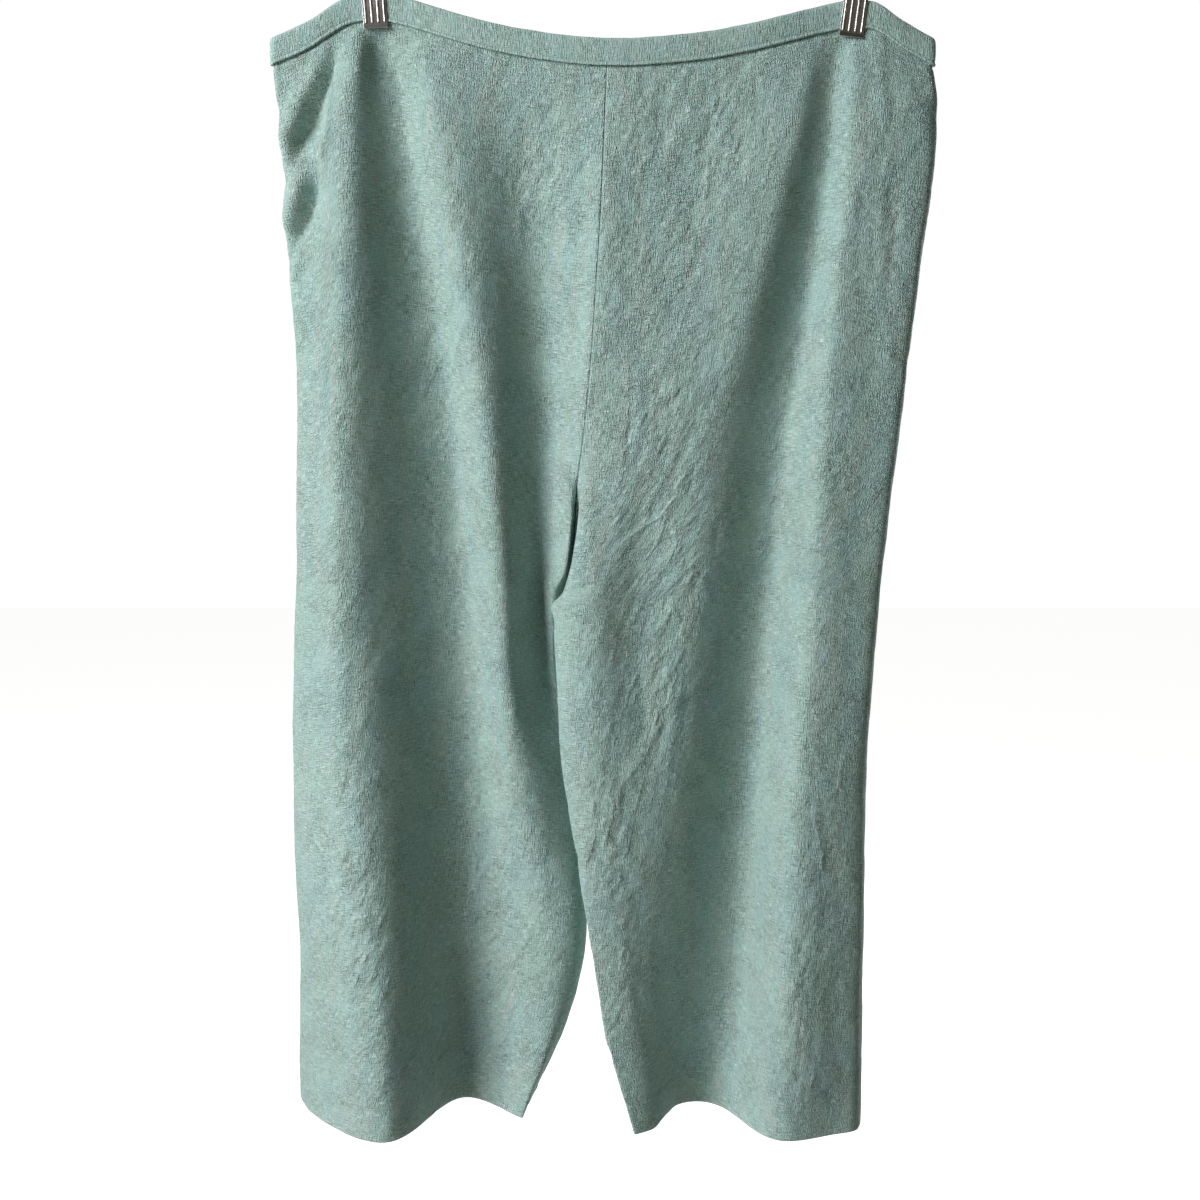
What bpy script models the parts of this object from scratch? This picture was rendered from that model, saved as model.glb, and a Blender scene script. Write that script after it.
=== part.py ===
"""Cropped wide-leg linen trousers hanging from a two-clip metal hanger.

The front of the trousers faces -Y, +Z is up and the origin is the inner top of the hook,
where the hanger rests on a rail.  Sizes are in millimetres and turned into metres on the way out.
"""

import math

import bpy
import bmesh
import numpy as np

MM = 0.001

# Cloth
CLOTH = 1.2            # wall of one layer of linen with its give
HEM_WALL = 2.4         # wall where the hem is turned up
HEM_TURN = 26.0        # height of the turned-up hem
SEAM_GAP = 0.25        # half of the gap left between two sewn edges
CROTCH_GAP = 0.8       # added to it where four edges meet
BAND_WALL = 2.4        # folded waistband
BAND_HEIGHT = 20.0
BAND_CORNER = 3.5      # rounding of the flattened band at the side seams
BAND_GAP = 0.5         # between the band and the panels under it
TOP_BLEND = 60.0       # the panels follow the band's sag over this height

# Heights
BAND_Z = -145.0        # lower edge of the band at the centre front
CROTCH_TOP = -560.0    # the two centre seams start to turn under
CROTCH_LOW = -625.0    # below this each leg is its own tube
HEM_Z = -1040.0

# Waistband, from the wearer's right side seam to the left one.
# x, height of the band's middle, depth of the front half, depth of the back half
BAND_ROWS = (
    (-284.0, -129.0, -1.5, 3.5),
    (-251.0, -115.0, -3.0, 4.0),
    (-216.0, -95.5, -2.1, 2.1),
    (-197.0, -93.5, -1.8, 1.8),
    (-180.0, -96.0, -2.1, 2.2),
    (-134.0, -110.0, -7.0, 10.0),
    (-70.0, -125.0, -9.5, 14.0),
    (0.0, -132.0, -12.0, 16.0),
    (70.0, -127.0, -10.5, 14.0),
    (134.0, -114.0, -7.0, 10.0),
    (180.0, -102.0, -2.1, 2.2),
    (196.0, -99.5, -1.8, 1.8),
    (212.0, -100.0, -2.0, 2.1),
    (238.0, -114.5, -1.0, 6.0),
    (266.0, -129.0, 1.5, 6.5),
)

# Each line runs down a seam, a ridge or a valley of the cloth: height, x, depth.
SIDE_RIGHT = (
    (-139.0, -284.0, 1.0), (-205.0, -279.0, 4.0), (-300.0, -276.0, 5.0), (-390.0, -271.0, 6.0),
    (-560.0, -277.0, 8.0), (-780.0, -284.0, 10.0), (-900.0, -283.0, 13.0), (-1041.0, -286.0, 18.0),
)
SIDE_LEFT = (
    (-139.0, 266.0, 4.0), (-175.0, 271.0, 4.0), (-210.0, 270.0, 4.0), (-290.0, 261.0, 4.0),
    (-440.0, 244.0, 3.0), (-600.0, 228.0, 3.0), (-780.0, 220.0, 1.0), (-1041.0, 221.0, -4.0),
)
CENTRE_FRONT = (
    (-145.0, -6.0, -12.0), (-290.0, -13.0, -21.0), (-440.0, -25.0, -24.0), (-485.0, -31.0, -19.0),
    (-530.0, -34.0, -2.0), (-580.0, -37.0, 12.0), (-592.0, -37.6, 12.6),
)
CENTRE_BACK = (
    (-145.0, -6.0, 15.0), (-290.0, -9.0, 30.0), (-440.0, -16.0, 42.0), (-500.0, -24.0, 43.0),
    (-540.0, -31.0, 34.0), (-580.0, -37.0, 15.0), (-592.0, -37.6, 14.6),
)
INSEAM_RIGHT = (
    (-625.0, -43.0, 18.0), (-655.0, -45.0, 20.0), (-720.0, -36.0, 21.0), (-800.0, -29.0, 20.0),
    (-880.0, -26.0, 17.0), (-960.0, -43.0, 10.0), (-1040.0, -77.0, 2.0),
)
INSEAM_LEFT = (
    (-625.0, -37.0, 13.0), (-655.0, -35.0, 11.0), (-720.0, -25.0, 4.0), (-800.0, -13.0, -4.0),
    (-880.0, -3.0, -12.0), (-960.0, 8.0, -20.0), (-1040.0, 28.0, -28.0),
)

RIGHT_FRONT = (
    SIDE_RIGHT,
    ((-128.0, -248.0, -2.0), (-290.0, -247.0, -12.0), (-480.0, -250.0, -24.0),
     (-640.0, -250.0, -33.0), (-860.0, -243.0, -46.0), (-1042.0, -242.0, -57.0)),
    ((-106.0, -216.0, -2.1), (-114.0, -216.0, -2.3), (-132.0, -215.0, -5.5), (-210.0, -217.0, -16.0),
     (-290.0, -221.0, -24.0), (-370.0, -226.0, -31.0), (-560.0, -230.0, -46.0),
     (-680.0, -221.0, -56.0), (-860.0, -208.0, -70.0), (-1042.0, -196.0, -84.0)),
    ((-105.0, -187.0, -1.9), (-118.0, -187.0, -1.0), (-150.0, -186.0, 3.0), (-290.0, -168.0, 9.0),
     (-440.0, -147.0, 9.0), (-640.0, -135.0, 7.0), (-860.0, -128.0, 5.0), (-1039.0, -131.0, 3.0)),
    ((-119.0, -152.0, -5.0), (-210.0, -134.0, -15.0), (-370.0, -112.0, -23.0),
     (-530.0, -99.0, -28.0), (-680.0, -90.0, -31.0), (-800.0, -68.0, -33.0),
     (-880.0, -58.0, -34.0), (-960.0, -62.0, -35.0), (-1040.0, -85.0, -36.0)),
    ((-135.0, -78.0, -9.0), (-210.0, -73.0, -2.0), (-370.0, -70.0, 5.0), (-530.0, -59.0, 8.0),
     (-600.0, -61.0, 8.0), (-680.0, -51.0, 5.0), (-800.0, -37.0, -6.0), (-880.0, -28.0, -14.0),
     (-960.0, -45.0, -22.0), (-1040.0, -79.0, -28.0)),
    ((-144.0, -19.0, -12.0), (-290.0, -24.0, -20.0), (-440.0, -34.0, -25.0),
     (-500.0, -38.0, -23.0), (-550.0, -44.0, -17.0), (-590.0, -55.0, -8.0), (-640.0, -56.0, 2.0),
     (-720.0, -40.0, 8.0), (-800.0, -28.0, 5.0), (-880.0, -23.0, 2.0), (-960.0, -40.0, -7.0),
     (-1040.0, -75.0, -15.0)),
    CENTRE_FRONT + INSEAM_RIGHT,
)
LEFT_FRONT = (
    SIDE_LEFT,
    ((-122.0, 240.0, -1.0), (-210.0, 231.0, -8.0), (-370.0, 217.0, -15.0), (-600.0, 198.0, -27.0),
     (-740.0, 190.0, -35.0), (-880.0, 187.0, -45.0), (-1042.0, 187.0, -60.0)),
    ((-109.0, 208.0, -2.0), (-122.0, 204.0, -2.2), (-150.0, 197.0, -8.0), (-210.0, 195.0, -14.0),
     (-290.0, 193.0, -22.0), (-370.0, 182.0, -29.0), (-440.0, 177.0, -35.0),
     (-600.0, 167.0, -47.0), (-740.0, 155.0, -58.0), (-900.0, 153.0, -72.0),
     (-1042.0, 147.0, -82.0)),
    ((-111.0, 184.0, -2.0), (-150.0, 182.0, 1.0), (-210.0, 175.0, 4.0), (-290.0, 160.0, 5.0),
     (-440.0, 138.0, 4.0), (-600.0, 119.0, 2.0), (-800.0, 104.0, -4.0), (-960.0, 90.0, -9.0),
     (-1038.0, 78.0, -12.0)),
    ((-134.0, 95.0, -9.0), (-290.0, 87.0, -15.0), (-480.0, 73.0, -20.0), (-640.0, 60.0, -24.0),
     (-800.0, 57.0, -24.0), (-1036.0, 61.0, -25.0)),
    ((-142.0, 38.0, -11.0), (-290.0, 35.0, -20.0), (-480.0, 30.0, -30.0), (-600.0, 22.0, -39.0),
     (-800.0, 25.0, -47.0), (-1036.0, 42.0, -54.0)),
    ((-144.0, 6.0, -12.0), (-290.0, -2.0, -23.0), (-440.0, -16.0, -28.0), (-500.0, -26.0, -30.0),
     (-545.0, -33.0, -32.0), (-590.0, -48.0, -36.0), (-640.0, -49.0, -41.0),
     (-720.0, -37.0, -47.0), (-800.0, -24.0, -54.0), (-880.0, -13.0, -61.0),
     (-960.0, -3.0, -66.0), (-1040.0, 18.0, -74.0)),
    CENTRE_FRONT + INSEAM_LEFT,
)
RIGHT_BACK = (
    SIDE_RIGHT,
    ((-128.0, -248.0, 4.0), (-290.0, -250.0, 18.0), (-480.0, -254.0, 28.0),
     (-640.0, -256.0, 38.0), (-860.0, -256.0, 54.0), (-1042.0, -254.0, 66.0)),
    ((-106.0, -214.0, 2.1), (-118.0, -213.0, 2.3), (-150.0, -212.0, 9.0), (-210.0, -214.0, 22.0),
     (-370.0, -218.0, 40.0), (-560.0, -222.0, 56.0), (-740.0, -216.0, 68.0),
     (-1042.0, -206.0, 86.0)),
    ((-105.0, -184.0, 2.1), (-116.0, -182.0, 2.3), (-150.0, -176.0, 11.0), (-290.0, -160.0, 26.0),
     (-440.0, -148.0, 34.0), (-640.0, -140.0, 42.0), (-860.0, -136.0, 48.0),
     (-1039.0, -138.0, 50.0)),
    ((-119.0, -136.0, 10.0), (-210.0, -118.0, 28.0), (-370.0, -100.0, 45.0),
     (-560.0, -92.0, 60.0), (-740.0, -84.0, 66.0), (-900.0, -84.0, 68.0), (-1040.0, -98.0, 68.0)),
    ((-142.0, -52.0, 15.0), (-290.0, -48.0, 32.0), (-440.0, -48.0, 46.0), (-560.0, -60.0, 50.0),
     (-640.0, -64.0, 49.0), (-740.0, -54.0, 49.0), (-880.0, -46.0, 44.0), (-960.0, -60.0, 40.0),
     (-1040.0, -90.0, 34.0)),
    CENTRE_BACK + INSEAM_RIGHT,
)
LEFT_BACK = (
    SIDE_LEFT,
    ((-122.0, 240.0, 6.0), (-290.0, 236.0, 18.0), (-480.0, 218.0, 28.0), (-640.0, 206.0, 38.0),
     (-860.0, 196.0, 52.0), (-1042.0, 198.0, 60.0)),
    ((-109.0, 210.0, 2.1), (-124.0, 208.0, 2.3), (-150.0, 205.0, 7.0), (-210.0, 200.0, 22.0),
     (-370.0, 190.0, 40.0), (-560.0, 178.0, 56.0), (-740.0, 166.0, 66.0), (-1042.0, 158.0, 80.0)),
    ((-111.0, 182.0, 2.1), (-124.0, 180.0, 2.3), (-155.0, 173.0, 10.0), (-290.0, 150.0, 26.0),
     (-440.0, 136.0, 34.0), (-640.0, 122.0, 40.0), (-860.0, 112.0, 42.0), (-1039.0, 106.0, 42.0)),
    ((-124.0, 134.0, 10.0), (-210.0, 112.0, 28.0), (-370.0, 92.0, 45.0), (-560.0, 76.0, 60.0),
     (-740.0, 66.0, 62.0), (-900.0, 62.0, 62.0), (-1040.0, 64.0, 60.0)),
    ((-142.0, 40.0, 15.0), (-290.0, 34.0, 32.0), (-440.0, 24.0, 46.0), (-560.0, 0.0, 50.0),
     (-640.0, -8.0, 45.0), (-740.0, 4.0, 40.0), (-880.0, 18.0, 32.0), (-960.0, 28.0, 24.0),
     (-1040.0, 42.0, 14.0)),
    CENTRE_BACK + INSEAM_LEFT,
)

# Rows of the panels, as heights on the centre line: closer together round the crotch.
ROW_HEIGHTS = (
    -145.0, -158.0, -180.0, -210.0, -250.0, -295.0, -340.0, -385.0, -430.0, -464.0, -490.0,
    -512.0, -534.0, -556.0, -580.0, -604.0, -630.0, -662.0, -704.0, -750.0, -798.0, -844.0,
    -888.0, -932.0, -974.0, -1013.0, -1014.5, -1040.0,
)
STEPS_PER_FOLD = 3     # faces between two neighbouring lines of a panel

# Hanger
WIRE = 1.8             # radius of the hook's wire
HOOK_RADIUS = 20.0     # of the wire's middle line
HOOK_TIP = 205.0       # degrees round from +X to the tip
HOOK_TURN = -52.0      # degrees at which the hook leaves the circle for its shank
BAR_Z = -62.0
BAR_RADIUS = 2.0
BAR_LEFT_END = -228.0
BAR_RIGHT_END = 232.0
BOSS_RADIUS = 4.5
BOSS_HEIGHT = 15.0
BOSS_BORE = 2.1
STOP_RADIUS = 3.6
STOP_LENGTH = 6.0
JAW_WIDTH = 20.0
JAW_WALL = 1.1
JAW_INNER = 3.4        # depth of the jaw's inner face from the middle of the band
JAW_ABOVE_BAR = 11.0
JAW_LIP = 4.0          # height of the plain lip under the ribs
JAW_LIP_DEPTH = 1.0
RIB_COUNT = 4
RIB_PITCH = 5.2
RIB_WIDTH = 1.7
RIB_DEPTH = 0.9
RIB_BELOW_TOP = 3.0
JAW_SUNK = 0.4         # lip, ribs and barrel reach this far into the jaw's wall
BARREL_RADIUS = 4.9
BARREL_BORE = 3.4
# name, x at the jaw's lower end, height of that end, lean in degrees (lower end towards +X)
CLIPS = (
    ("right", -197.0, -111.5, 3.5),
    ("left", 196.0, -118.5, -7.0),
)


def clear_scene():
    """Remove what a new file holds."""
    for item in list(bpy.data.objects):
        bpy.data.objects.remove(item, do_unlink=True)


def make_material(name, colour, roughness, metallic):
    """Make one Principled material."""
    material = bpy.data.materials.new(name)
    material.use_nodes = True
    shader = material.node_tree.nodes["Principled BSDF"]
    shader.inputs["Base Color"].default_value = (*colour, 1.0)
    shader.inputs["Roughness"].default_value = roughness
    shader.inputs["Metallic"].default_value = metallic
    return material


def slopes(knots, values):
    """Slopes of a curve that turns close to its own highest and lowest knots.

    Both arrays run along their second axis; values has the coordinates on its third.
    """
    step = np.diff(knots, axis=1)[:, :, None]
    rise = np.diff(values, axis=1) / step
    before, after = rise[:, :-1], rise[:, 1:]
    left, right = step[:, :-1], step[:, 1:]
    first = 2.0 * right + left
    second = right + 2.0 * left
    same = before * after > 0.0
    safe_before = np.where(same, before, 1.0)
    safe_after = np.where(same, after, 1.0)
    middle = (first + second) / (first / safe_before + second / safe_after)
    inner = np.where(same, middle, 0.0) + 0.15 * 0.5 * (before + after)
    return np.concatenate([rise[:, :1], inner, rise[:, -1:]], axis=1)


def curve_points(knots, values, slope, at):
    """Points and directions of the curve at each parameter of each row."""
    rows = np.arange(knots.shape[0])[:, None]
    cell = np.empty(at.shape, dtype=int)
    for row in range(knots.shape[0]):
        cell[row] = np.searchsorted(knots[row], at[row], side="right") - 1
    cell = np.clip(cell, 0, knots.shape[1] - 2)
    start = knots[rows, cell]
    length = (knots[rows, cell + 1] - start)[:, :, None]
    t = (at - start)[:, :, None] / length
    p0, p1 = values[rows, cell], values[rows, cell + 1]
    m0, m1 = slope[rows, cell] * length, slope[rows, cell + 1] * length
    point = (
        (2 * t**3 - 3 * t**2 + 1) * p0 + (t**3 - 2 * t**2 + t) * m0
        + (3 * t**2 - 2 * t**3) * p1 + (t**3 - t**2) * m1
    )
    direction = (
        (6 * t**2 - 6 * t) * p0 + (3 * t**2 - 4 * t + 1) * m0
        + (6 * t - 6 * t**2) * p1 + (3 * t**2 - 2 * t) * m1
    ) / length
    return point, direction


def through(rows, at):
    """Value columns of a short table at the given values of its first column."""
    table = np.array(rows, dtype=float)
    if table[0, 0] > table[-1, 0]:
        table = table[::-1]
    knots = table[None, :, 0]
    values = table[None, :, 1:]
    at = np.clip(np.asarray(at, dtype=float), knots[0, 0], knots[0, -1])
    point, _ = curve_points(knots, values, slopes(knots, values), at[None, :])
    return point[0]


def smoothstep(value, low, high):
    """0 at low, 1 at high and smooth between."""
    t = np.clip((value - low) / (high - low), 0.0, 1.0)
    return t * t * (3.0 - 2.0 * t)


def band_path(x, half):
    """Depth and middle height of the front (-1) or back (+1) half of the band at x."""
    level = through(BAND_ROWS, x)
    middle = 0.5 * (level[:, 1] + level[:, 2])
    spread = 0.5 * (level[:, 2] - level[:, 1])
    ends = np.minimum(x - BAND_ROWS[0][0], BAND_ROWS[-1][0] - x)
    inside = 1.0 - np.clip(ends / BAND_CORNER, 0.0, 1.0)
    rounding = np.sqrt(np.maximum(0.0, 1.0 - inside * inside))
    return middle + half * spread * rounding, level[:, 0]


def panel_surface(lines, front, towards_centre):
    """Middle surface of one panel: points and outward normals, one row per height.

    front is True for the two front panels; towards_centre is the sign of x from the side seam
    to the centre.
    """
    share = (np.array(ROW_HEIGHTS) - BAND_Z) / (HEM_Z - BAND_Z)
    control = []
    for line in lines:
        top, low = line[0][0], line[-1][0]
        height = top + share * (low - top)
        control.append(np.column_stack([through(line, height), height]))
    control = np.stack(control, axis=1)
    across = np.linalg.norm(np.diff(control[:, :, :2], axis=1), axis=2)
    knots = np.concatenate([np.zeros((len(share), 1)), np.cumsum(across, axis=1)], axis=1)
    slope = slopes(knots, control)
    depth_sign = -1.0 if front else 1.0
    slope[:, 0, 0] = 0.0
    slope[:, 0, 1] = depth_sign
    turned = smoothstep(-control[:, -1, 2], -CROTCH_TOP, -CROTCH_LOW)
    slope[:, -1, 0] = towards_centre * np.cos(0.5 * math.pi * turned)
    slope[:, -1, 1] = -depth_sign * np.sin(0.5 * math.pi * turned)
    at = []
    for fold in range(len(lines) - 1):
        for step in range(STEPS_PER_FOLD):
            part = step / STEPS_PER_FOLD
            at.append(knots[:, fold] * (1.0 - part) + knots[:, fold + 1] * part)
    at.append(knots[:, -1] - SEAM_GAP - CROTCH_GAP * np.sin(math.pi * turned))
    at[0] = knots[:, 0] + SEAM_GAP
    points, along = curve_points(knots, control, slope, np.stack(at, axis=1))
    depth, middle = band_path(points[0, :, 0], depth_sign)
    wanted = np.column_stack([points[0, :, 0], depth, middle - 0.5 * BAND_HEIGHT - BAND_GAP])
    move = wanted - points[0]
    fade = 1.0 - smoothstep(points[0, :, 2] - points[:, :, 2], 0.0, TOP_BLEND)
    points = points + fade[:, :, None] * move[None]
    down = np.gradient(points, axis=0)
    normal = np.cross(along, down)
    normal /= np.linalg.norm(normal, axis=2)[:, :, None]
    outward = -towards_centre if front else towards_centre
    return points, normal * outward


def finish(name, mesh, material, collection):
    """Put a mesh into the scene as one named object."""
    mesh.materials.append(material)
    item = bpy.data.objects.new(name, mesh)
    collection.objects.link(item)
    return item


def shell(name, outer, inner, closed, flip, material, collection):
    """A closed wall between two grids of points; closed joins the last column to the first."""
    rows, columns = outer.shape[:2]
    mesh = bpy.data.meshes.new(name)
    vertices = np.concatenate([outer.reshape(-1, 3), inner.reshape(-1, 3)]) * MM
    half = rows * columns
    faces = []
    spans = columns if closed else columns - 1

    def vertex(row, column, layer):
        return layer * half + row * columns + column % columns

    for row in range(rows - 1):
        for column in range(spans):
            a, b = vertex(row, column, 0), vertex(row, column + 1, 0)
            c, d = vertex(row + 1, column + 1, 0), vertex(row + 1, column, 0)
            faces.append((a, b, c, d))
            faces.append((a + half, d + half, c + half, b + half))
    for column in range(spans):
        a, b = vertex(0, column, 0), vertex(0, column + 1, 0)
        faces.append((a, a + half, b + half, b))
        a, b = vertex(rows - 1, column, 0), vertex(rows - 1, column + 1, 0)
        faces.append((a, b, b + half, a + half))
    if not closed:
        for row in range(rows - 1):
            a, b = vertex(row, 0, 0), vertex(row + 1, 0, 0)
            faces.append((a, b, b + half, a + half))
            a, b = vertex(row, columns - 1, 0), vertex(row + 1, columns - 1, 0)
            faces.append((a, a + half, b + half, b))
    if flip:
        faces = [face[::-1] for face in faces]
    mesh.from_pydata([tuple(v) for v in vertices], [], faces)
    mesh.validate()
    for face in mesh.polygons:
        face.use_smooth = False
    return finish(name, mesh, material, collection)


def build_panel(name, lines, front, towards_centre, material, collection):
    """One trouser panel from the band to the turned-up hem."""
    points, normal = panel_surface(lines, front, towards_centre)
    low = points[-1, :, 2]
    in_hem = points[:, :, 2] < low[None, :] + HEM_TURN
    wall_in = np.where(in_hem, HEM_WALL - 0.5 * CLOTH, 0.5 * CLOTH)
    outer = points + normal * (0.5 * CLOTH)
    inner = points - normal * wall_in[:, :, None]
    flip = (towards_centre > 0) == front
    shell(name, outer, inner, False, flip, material, collection)
    return points[0, :, 0]


def build_band(edges, material, collection):
    """The flattened ring of the waistband, pinched where the clips hold it.

    edges holds, by panel, the places along x where its top edge bends.
    """
    front = np.concatenate([edges["right_front"], edges["left_front"][-2::-1]])
    back = np.concatenate([edges["left_back"], edges["right_back"][-2::-1]])
    front[0], front[-1] = BAND_ROWS[0][0], BAND_ROWS[-1][0]
    front_depth, front_height = band_path(front, -1.0)
    back_depth, back_height = band_path(back, 1.0)
    path = np.concatenate([
        np.column_stack([front, front_depth, front_height]),
        np.column_stack([back, back_depth, back_height])[1:-1],
    ])
    ahead = np.roll(path, -1, axis=0) - np.roll(path, 1, axis=0)
    normal = np.column_stack([ahead[:, 1], -ahead[:, 0]])
    normal /= np.linalg.norm(normal, axis=1)[:, None]
    flat = np.column_stack([normal, np.zeros(len(path))]) * (0.5 * BAND_WALL)
    rise = np.array([0.0, 0.0, 0.5 * BAND_HEIGHT])
    outer = np.stack([path + flat + rise, path + flat - rise])
    inner = np.stack([path - flat + rise, path - flat - rise])
    return shell("waistband", outer, inner, True, True, material, collection)


def cylinder(name, start, end, radius, segments=32):
    """A rod between two points, in millimetres."""
    start, end = np.array(start), np.array(end)
    axis = end - start
    length = np.linalg.norm(axis)
    bpy.ops.mesh.primitive_cylinder_add(
        vertices=segments, radius=radius * MM, depth=length * MM,
        location=tuple(0.5 * (start + end) * MM),
        rotation=(0.0, math.acos(axis[2] / length), math.atan2(axis[1], axis[0])),
    )
    item = bpy.context.object
    item.name = name
    bpy.ops.object.transform_apply(location=True, rotation=True, scale=True)
    return item


def box(name, low, high):
    """A block between two corners, in millimetres."""
    low, high = np.array(low), np.array(high)
    bpy.ops.mesh.primitive_cube_add(size=1.0, location=tuple(0.5 * (low + high) * MM))
    item = bpy.context.object
    item.name = name
    item.scale = tuple((high - low) * MM)
    bpy.ops.object.transform_apply(location=True, rotation=True, scale=True)
    return item


def combine(item, other, operation):
    """Apply one exact boolean and drop the tool."""
    modifier = item.modifiers.new("combine", "BOOLEAN")
    modifier.operation = operation
    modifier.solver = "EXACT"
    modifier.object = other
    bpy.context.view_layer.objects.active = item
    for chosen in bpy.context.selected_objects:
        chosen.select_set(False)
    item.select_set(True)
    bpy.ops.object.modifier_apply(modifier=modifier.name)
    bpy.data.objects.remove(other, do_unlink=True)
    return item


def keep(item, name, material, collection):
    """Move a finished solid to the trousers' collection under its own name."""
    for owner in list(item.users_collection):
        owner.objects.unlink(item)
    collection.objects.link(item)
    item.name = name
    item.data.name = name
    item.data.materials.clear()
    item.data.materials.append(material)
    return item


def build_hook(material, collection):
    """The wire hook: an open circle, then a bend back to the shank in the boss."""
    centre = WIRE - HOOK_RADIUS
    path = []
    for degrees in np.linspace(HOOK_TIP, HOOK_TURN, 34):
        angle = math.radians(degrees)
        path.append((HOOK_RADIUS * math.cos(angle), centre + HOOK_RADIUS * math.sin(angle)))
    end_x, end_z = path[-1]
    shank_top = end_z - 15.0
    for step in range(1, 11):
        t = step / 10.0
        ease = t * t * (3.0 - 2.0 * t)
        lift = end_z + (shank_top - end_z) * t
        path.append((end_x * (1.0 - ease) - 2.5 * math.sin(math.pi * t) * (1.0 - t), lift))
    path.append((0.0, BAR_Z - BOSS_HEIGHT * 0.5 + 3.3))
    curve = bpy.data.curves.new("hook_wire", "CURVE")
    curve.dimensions = "3D"
    curve.bevel_depth = WIRE * MM
    curve.bevel_resolution = 4
    curve.use_fill_caps = True
    spline = curve.splines.new("POLY")
    spline.points.add(len(path) - 1)
    for point, (x, z) in zip(spline.points, path):
        point.co = (x * MM, 0.0, z * MM, 1.0)
    item = bpy.data.objects.new("hook_wire", curve)
    bpy.context.scene.collection.objects.link(item)
    mesh = bpy.data.meshes.new_from_object(item.evaluated_get(bpy.context.evaluated_depsgraph_get()))
    bpy.data.objects.remove(item, do_unlink=True)
    work = bmesh.new()
    work.from_mesh(mesh)
    bmesh.ops.remove_doubles(work, verts=work.verts, dist=0.00001)
    bmesh.ops.recalc_face_normals(work, faces=work.faces)
    work.to_mesh(mesh)
    work.free()
    mesh.materials.clear()
    return finish("hook", mesh, material, collection)


def build_bar(material, collection):
    """The crossbar with its boss for the hook and a stop at each end."""
    bar = cylinder("crossbar", (BAR_LEFT_END, 0, BAR_Z), (BAR_RIGHT_END, 0, BAR_Z), BAR_RADIUS)
    low, high = BAR_Z - 0.5 * BOSS_HEIGHT, BAR_Z + 0.5 * BOSS_HEIGHT
    bar = combine(bar, cylinder("boss", (0, 0, low), (0, 0, high), BOSS_RADIUS), "UNION")
    bore = cylinder("bore", (0, 0, low + 3.0), (0, 0, high + 2.0), BOSS_BORE)
    bar = combine(bar, bore, "DIFFERENCE")
    for end, side in ((BAR_LEFT_END, -1.0), (BAR_RIGHT_END, 1.0)):
        stop = cylinder("stop", (end - side * STOP_LENGTH, 0, BAR_Z), (end + side, 0, BAR_Z),
                        STOP_RADIUS)
        bar = combine(bar, stop, "UNION")
    return keep(bar, "crossbar", material, collection)


def lean(item, x, height, degrees):
    """Turn a clip about the bar so that its lower end stands at x."""
    angle = math.radians(degrees)
    drop = BAR_Z - height
    bar_x = x - drop * math.tan(angle)
    mesh = item.data
    for vertex in mesh.vertices:
        dx = vertex.co.x
        dz = vertex.co.z - BAR_Z * MM
        vertex.co.x = bar_x * MM + dx * math.cos(angle) - dz * math.sin(angle)
        vertex.co.z = BAR_Z * MM + dx * math.sin(angle) + dz * math.cos(angle)
    mesh.update()


def slab(facing, across, height, depth):
    """A block of a jaw: across and height are spans, depth is measured towards facing."""
    near, far = sorted((facing * depth[0], facing * depth[1]))
    return box("slab", (across[0], near, height[0]), (across[1], far, height[1]))


def build_jaw(facing, low):
    """One upright jaw with its lip and ribs; low is its lower end, facing -1 or +1 its side."""
    half = 0.5 * JAW_WIDTH
    top = BAR_Z + JAW_ABOVE_BAR
    outer = JAW_INNER + JAW_WALL
    jaw = slab(facing, (-half, half), (low, top), (JAW_INNER, outer))
    lip_depth = (JAW_INNER + JAW_SUNK, outer + JAW_LIP_DEPTH)
    jaw = combine(jaw, slab(facing, (-half, half), (low, low + JAW_LIP), lip_depth), "UNION")
    rib_height = (low + JAW_LIP - 0.5, top - RIB_BELOW_TOP)
    rib_depth = (JAW_INNER + JAW_SUNK, outer + RIB_DEPTH)
    for rib in range(RIB_COUNT):
        middle = (rib - 0.5 * (RIB_COUNT - 1)) * RIB_PITCH
        span = (middle - 0.5 * RIB_WIDTH, middle + 0.5 * RIB_WIDTH)
        jaw = combine(jaw, slab(facing, span, rib_height, rib_depth), "UNION")
    return jaw


def add_barrel(jaw):
    """Wrap the front jaw round the crossbar."""
    half = 0.5 * JAW_WIDTH
    reach = 2.0 * BARREL_RADIUS
    barrel = cylinder("barrel", (1.0 - half, 0, BAR_Z), (half - 1.0, 0, BAR_Z), BARREL_RADIUS)
    behind = slab(1.0, (-half, half), (BAR_Z - reach, BAR_Z + reach),
                  (JAW_INNER - JAW_SUNK, reach))
    barrel = combine(barrel, behind, "DIFFERENCE")
    jaw = combine(jaw, barrel, "UNION")
    bore = cylinder("bore", (-half - 2.0, 0, BAR_Z), (half + 2.0, 0, BAR_Z), BARREL_BORE)
    return combine(jaw, bore, "DIFFERENCE")


def build_clip(side, x, height, degrees, colour, collection):
    """A ribbed spring clip: the front jaw with its barrel round the bar, and the back jaw."""
    low = BAR_Z - (BAR_Z - height) / math.cos(math.radians(degrees))
    for facing, part in ((-1.0, "front"), (1.0, "back")):
        name = f"clip_{side}_{part}"
        jaw = build_jaw(facing, low)
        if part == "front":
            jaw = add_barrel(jaw)
        keep(jaw, name, make_material(f"steel_{name}", colour, 0.3, 1.0), collection)
        lean(jaw, x, height, degrees)


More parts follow.
